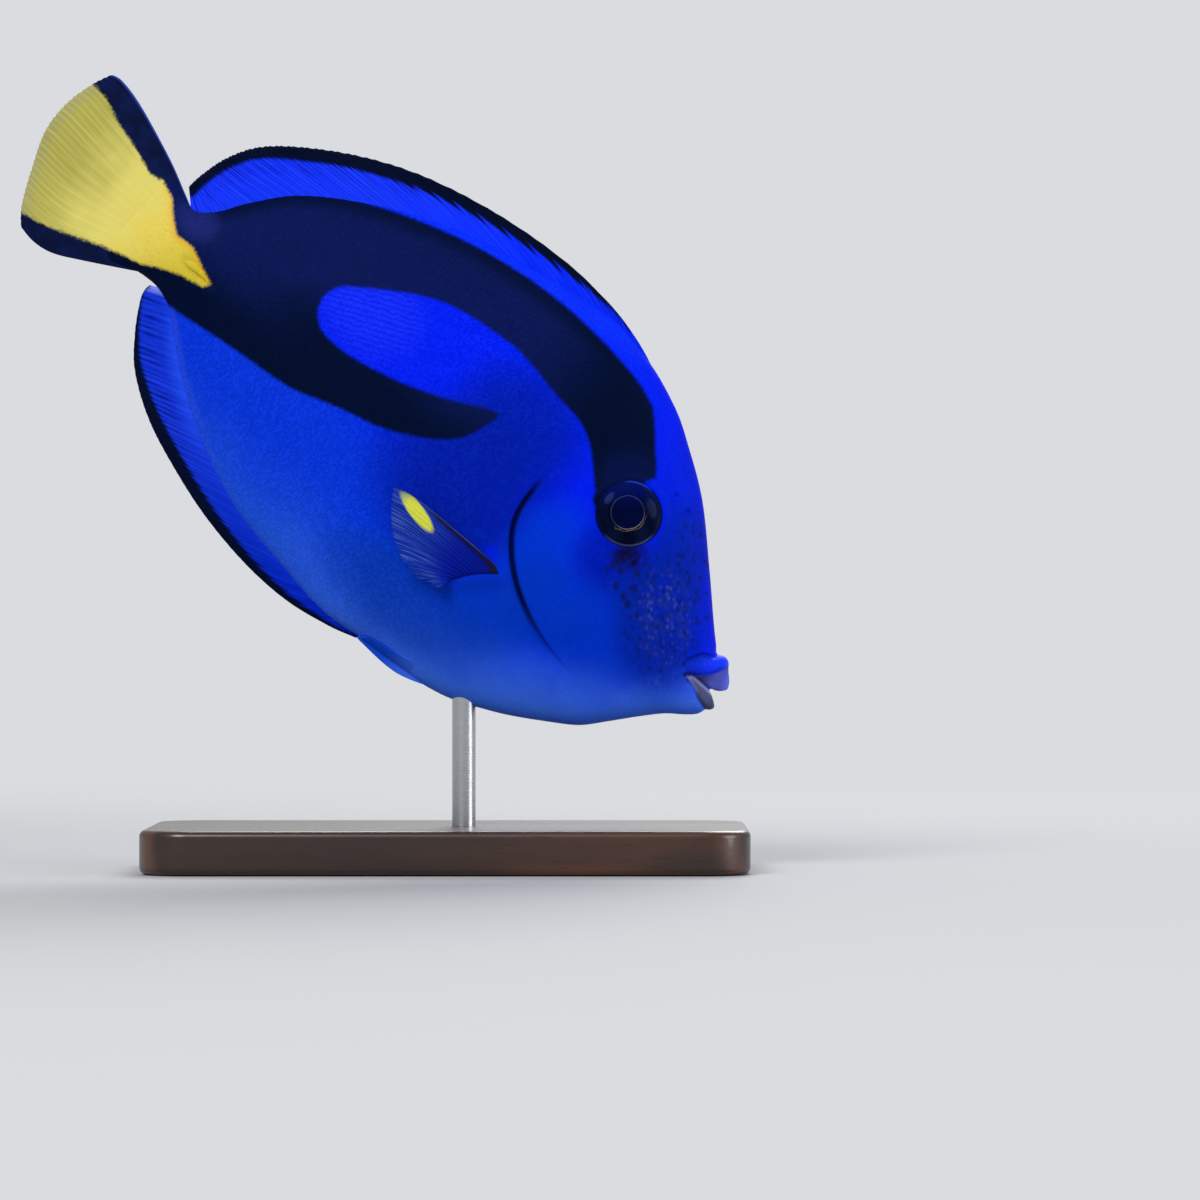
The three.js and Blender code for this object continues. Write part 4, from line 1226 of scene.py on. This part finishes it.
def breastFinPaint():
    p = Paint("breastFin", paleColours, Roughness=0.4, Specular_IOR_Level=0.08, Specular_Tint=paleGloss)
    place, back, up = p.onFish()
    row, share = p.field("row"), p.field("share")
    speckled = p.noise(place, 1.8, 3, 0.6)
    fibres = fibresOf(p, 80, 1.3)
    threads = p.rise(fibres, 0.48, 0.68)
    p.colour = p.mix(p.rise(row, 0.2, 0.9), "blue", "violet")
    p.coat(threads * p.rise(row, 0.3, 0.8) * 0.6, "ray")
    p.coat(threads * p.rise(row, 0.5, 0.2) * 0.25, "violet")
    shade = p.rise(share + (fibres - 0.5) * 0.1, 0.24, 0.06) * p.rise(back, 64, 60)
    p.coat(shade * 0.85, "brown")
    p.coat(p.rise(share, 0.2, 0.05) * p.rise(back, 52, 46) * 0.7, "rust")
    p.coat(p.rise(share, 0.045, 0.01) * p.rise(row, 0.1, 0.35) * 0.8, "top")

    # the yellow patch lies along the upper edge, rounded towards the body and fading to the tip
    slope, middle = math.radians(13), (64.5, -12.5)
    behind, above = back - middle[0], up - middle[1]
    endwise = behind * math.cos(slope) + above * math.sin(slope)
    sideways = above * math.cos(slope) - behind * math.sin(slope)
    patch = p.rise((endwise / 4.8) ** 2 + (sideways / 1.35) ** 2 + (fibres - 0.5) * 0.8, 1.25, 0.65)
    p.coat(patch, p.mix(p.rise(endwise, 1.6, 4.4), "yellow", "tip"))
    seeThrough = p.rise(row, 0.3, 1) * p.rise(fibres, 0.62, 0.4) * 0.5 * (1 - patch)
    rim = p.rise(p.field("edgeGap"), 0.6, 0) * 0.4 + p.rise(share, 0.75, 1) * p.rise(row, 0.4, 0.9) * 0.8
    return p.finished(speckled, p.bump(fibres, 0.00006, 0.5), 0.38, Alpha=1 - p.clip(seeThrough + rim))


def bellyFinPaint():
    p = Paint("bellyFin", paleColours, Roughness=0.45, Specular_IOR_Level=0.08, Specular_Tint=blueGloss)
    fibres = fibresOf(p, 30, 1.2)
    row = p.field("row")
    outwards = p.rise(row, 0.5, 0.9)
    p.colour = p.mix(p.rise(row, 0.3, 0.75), "bellyRoot", "bellyTip")
    p.coat(p.rise(fibres, 0.4, 0.7) * outwards * 0.3, "bellyRay")
    # painted shade along the fin's upper fold
    p.coat(p.rise(p.field("share"), 0.14, 0.02) * p.rise(row, 0.5, 0.8) * 0.5, "bellyFoldShade")
    speckled = p.noise(p.field("fishPlace", "Vector"), 1.8, 3, 0.6)
    return p.finished(speckled, p.bump(fibres * outwards, 0.00006, 0.5))


def buildMiddleFins():
    for name, fin in (("dorsal", dorsal), ("anal", anal)):
        made = buildFin(name + "Fin", fin, leaning(fin))
        finishPiece(onStand(made), blueFinPaint(name, fin), "blue_fin", name + "_fin")
    made = buildFin("tailFin", caudal, fanned(caudal))
    points = pointsOf(made.data)
    store(made, yellowDepth=depthInside(-points[:, 0], points[:, 2], outlines["yellow"]))
    finishPiece(onStand(made), tailPaint(), "tail_fin", "caudal_fin")


def besideBody(fin, side):
    # how far out a paired fin lies
    off = smoothThrough(fin["off"])

    def place(back, up, row):
        return side * np.maximum(flankWidth(back, up) + off(row), fin["leastOut"])

    return place


def buildPairedFins():
    slant = math.radians(pelvic["slant"])
    materials = {"breastFin": breastFinPaint(), "bellyFin": bellyFinPaint()}
    for name, side in (("Left", 1), ("Right", -1)):
        tilted = (0, side * math.cos(slant), -math.sin(slant))
        for kind, node, fin, across in (
            ("breastFin", "pectoral_fin_", pectoral, (0, 1, 0)),
            ("bellyFin", "pelvic_fin_", pelvic, tilted),
        ):
            made = buildFin(kind + name, fin, fanned(fin), besideBody(fin, side), across)
            finishPiece(onStand(made), materials[kind], "pale_fin", node + name.lower())


buildMiddleFins()
buildPairedFins()
print("fins done")


stand = {
    "half": (56, 31),
    "height": 8,
    "corner": 9,
    "edge": 1.2,
    "rim": 1.6,
    "middle": 25,
    "cornerSteps": 16,
    "rodRadius": 2.2,
    "rodPlace": 3,
    "rodFoot": 8.02,
    "rodAround": 72,
    "rodSearch": (9, 40, 0.05),
    "rodIntoBelly": 0.1,
    "wood": {"dark": "#2A150C", "light": "#4E2A17", "shade": "#1C0D08", "pore": "#120805"},
    "steel": {"dark": "#A9ACB0", "light": "#CDD0D3"},
}


def plateRing(inset, height):
    # a rounded rectangle
    corner = max(stand["corner"] - inset, 0.5)
    straight = [half - inset - corner for half in stand["half"]]
    points = []
    for start, signs in zip((0, 90, 180, 270), ((1, 1), (-1, 1), (-1, -1), (1, -1))):
        for turn in np.radians(np.linspace(start, start + 90, stand["cornerSteps"])):
            x = signs[0] * straight[0] + corner * math.cos(turn)
            y = signs[1] * straight[1] + corner * math.sin(turn)
            points.append((x, y, height))
    return points


def woodPaint():
    p = Paint("darkWood", stand["wood"], Roughness=0.35, Specular_IOR_Level=0.45, Coat_Weight=0.35,
              Coat_Roughness=0.12)
    place = p.node("TexCoord", {}, {}, "Object")
    stretched = p.vector("MULTIPLY", place, (14, 90, 90))
    warp = p.noise(stretched, 1.2, 3)
    wavy = {"Vector": stretched, "Scale": 0.55, "Distortion": 5.0, "Detail": 3.0, "Detail Scale": 1.2}
    rings = p.node("TexWave", {"bands_direction": "Y"}, wavy)
    pores = p.rise(p.noise(p.vector("MULTIPLY", place, (140, 1900, 1900)), 1, 2), 0.6, 0.72)
    p.colour = p.mix(p.rise(rings, 0.1, 0.9), "dark", "light")
    p.coat(p.rise(warp, 0.4, 0.75) * 0.6, "shade")
    p.coat(pores * 0.6, "pore")
    return p.finished(warp, p.bump(pores * -1, 0.00003, 0.3), 0.32)


def steelPaint():
    p = Paint("brushedSteel", stand["steel"], Metallic=1.0, Roughness=0.28)
    place = p.node("TexCoord", {}, {}, "Object")
    brushed = p.noise(p.vector("MULTIPLY", place, (400, 400, 9000)), 1, 3)
    colour = p.mix(brushed, "dark", "light")
    p.surface(Base_Color=colour, Roughness=0.22 + brushed * 0.14, Normal=p.bump(brushed, 0.00002, 0.4))
    return p.material


def buildStand():
    edge, rim, height, middle = [stand[name] for name in ("edge", "rim", "height", "middle")]
    bends = np.radians(np.linspace(0, 90, 9))
    rings = [plateRing(middle, 0), plateRing(rim, 0)]
    rings += [plateRing(edge - edge * math.sin(b), edge - edge * math.cos(b)) for b in bends]
    rings += [plateRing(edge - edge * math.cos(b), height - edge + edge * math.sin(b)) for b in bends]
    rings += [plateRing(rim, height), plateRing(middle, height)]
    plate = loftObject("standPlate", np.array(rings) * 0.001)
    finishPiece(plate, woodPaint(), "wood", "stand_base")

    # the rod's top follows the belly above it
    turn = np.linspace(0, 2 * math.pi, stand["rodAround"], endpoint=False)
    x = stand["rodPlace"] + stand["rodRadius"] * np.cos(turn)
    y = stand["rodRadius"] * np.sin(turn)
    angle = math.radians(pose["noseDown"])
    heights = np.arange(*stand["rodSearch"])
    top = []
    for across, out in zip(x, y):
        dx, dz = across - pose["snout"][0], heights - pose["snout"][2]
        back = dz * math.sin(angle) - dx * math.cos(angle)
        up = dx * math.sin(angle) + dz * math.cos(angle)
        inside = (up > bottomLine(back)) & (flankWidth(back, up) > abs(out))
        top.append(heights[np.argmax(inside)] + stand["rodIntoBelly"])
    foot, top = np.full(len(turn), stand["rodFoot"]), np.array(top)
    levels = [foot, foot + 0.3, blend(foot, top, 0.5), top - 0.2, top]
    rings = np.stack([np.column_stack([x, y, level]) for level in levels])
    rod = loftObject("standRod", rings * 0.001)
    rod.data.set_sharp_from_angle(angle=math.radians(40))
    finishPiece(rod, steelPaint(), "steel", "stand_rod")


buildStand()
print("stand done")


studio = {
    "pale": "#DADCE0",
    "floorReach": 9,
    "floorHole": 0.05,
    "floorRings": 16,
    "floorAround": 96,
    "floorLevel": -0.0002,
    "floorFade": (0.16, 0.62),
    "floorTone": ("#ADAEB1", "#A9AAAE"),
    "skylight": (0.92, 0.96, 1, 1),
    "ambient": 0.45,
    "lampAim": (0, 0, 0.07),
    "sensor": 36,
    "cameraPlace": (0.0284, -1.2, 0.0501),
    "frameWidth": 0.2239,
    "lamps": [
        {"name": "key", "place": (-0.45, -0.95, 0.85), "size": 0.6, "power": 13, "colour": (1, 0.98, 0.95)},
        {"name": "fill", "place": (1.2, -0.4, 0.35), "size": 0.7, "power": 7, "colour": (0.94, 0.97, 1)},
        {"name": "back", "place": (0.2, 0.8, 0.7), "size": 0.7, "power": 9, "colour": (1, 1, 1)},
    ],
}


def buildFloor():
    turn = np.linspace(0, 2 * math.pi, studio["floorAround"], endpoint=False)
    radii = np.geomspace(studio["floorHole"], studio["floorReach"], studio["floorRings"])
    level = np.full(len(turn), studio["floorLevel"])
    rings = [np.column_stack([r * np.cos(turn), r * np.sin(turn), level]) for r in radii]
    index = np.arange(len(radii) * len(turn)).reshape(len(radii), len(turn))
    faces = quads(np.concatenate([index, index[:, :1]], 1)) + [index[0].tolist()]
    floor = meshObject("floor", np.concatenate(rings), faces)
    if floor.data.polygons[0].normal.z < 0:
        floor.data.flip_normals()

    # far away the floor turns into the room's own pale grey
    p = Paint("paleFloor", Roughness=0.7, Specular_IOR_Level=0.1)
    place = p.node("TexCoord", {}, {}, "Object")
    p.surface(Base_Color=p.mix(p.noise(place, 60, 3) * 0.3, *studio["floorTone"]))
    glow = p.node("Emission", {}, {"Color": ink(studio["pale"]), "Strength": 1.0})
    near = Wire(p, p.tree.nodes["Principled BSDF"].outputs[0])
    both = p.node("MixShader", {}, {0: p.rise(p.length(place), *studio["floorFade"]), 1: near, 2: glow})
    p.fill(p.tree.nodes["Material Output"], {"Surface": both})
    floor.data.materials.append(p.material)


def buildRoom():
    # the room gives soft light, and what the camera sees of it is the floor's own pale grey
    p = Paint("room", room=True)
    light = p.node("Background", {}, {"Color": studio["skylight"], "Strength": studio["ambient"]})
    seen = p.node("Background", {}, {"Color": ink(studio["pale"])})
    straight = p.node("LightPath", {}, {}, "Is Camera Ray")
    both = p.node("MixShader", {}, {0: straight, 1: light, 2: seen})
    p.fill(p.tree.nodes["World Output"], {"Surface": both})
    bpy.context.scene.world = p.material
    for lamp in studio["lamps"]:
        light = bpy.data.lights.new(lamp["name"], "AREA")
        light.shape, light.size = "DISK", lamp["size"]
        light.energy, light.color = lamp["power"], lamp["colour"]
        made = bpy.data.objects.new(lamp["name"], light)
        made.location = lamp["place"]
        towards = Vector(lamp["place"]) - Vector(studio["lampAim"])
        made.rotation_euler = towards.to_track_quat("Z", "Y").to_euler()
        bpy.context.scene.collection.objects.link(made)


def buildCamera():
    camera = bpy.data.cameras.new("camera")
    camera.sensor_width = studio["sensor"]
    camera.lens = studio["sensor"] * -studio["cameraPlace"][1] / studio["frameWidth"]
    camera.clip_end = 50
    made = bpy.data.objects.new("camera", camera)
    made.location = studio["cameraPlace"]
    made.rotation_euler = (math.radians(90), 0, 0)
    bpy.context.scene.collection.objects.link(made)
    bpy.context.scene.camera = made
    bpy.context.scene.view_settings.view_transform = "Standard"


buildFloor()
buildRoom()
buildCamera()
print("studio done")
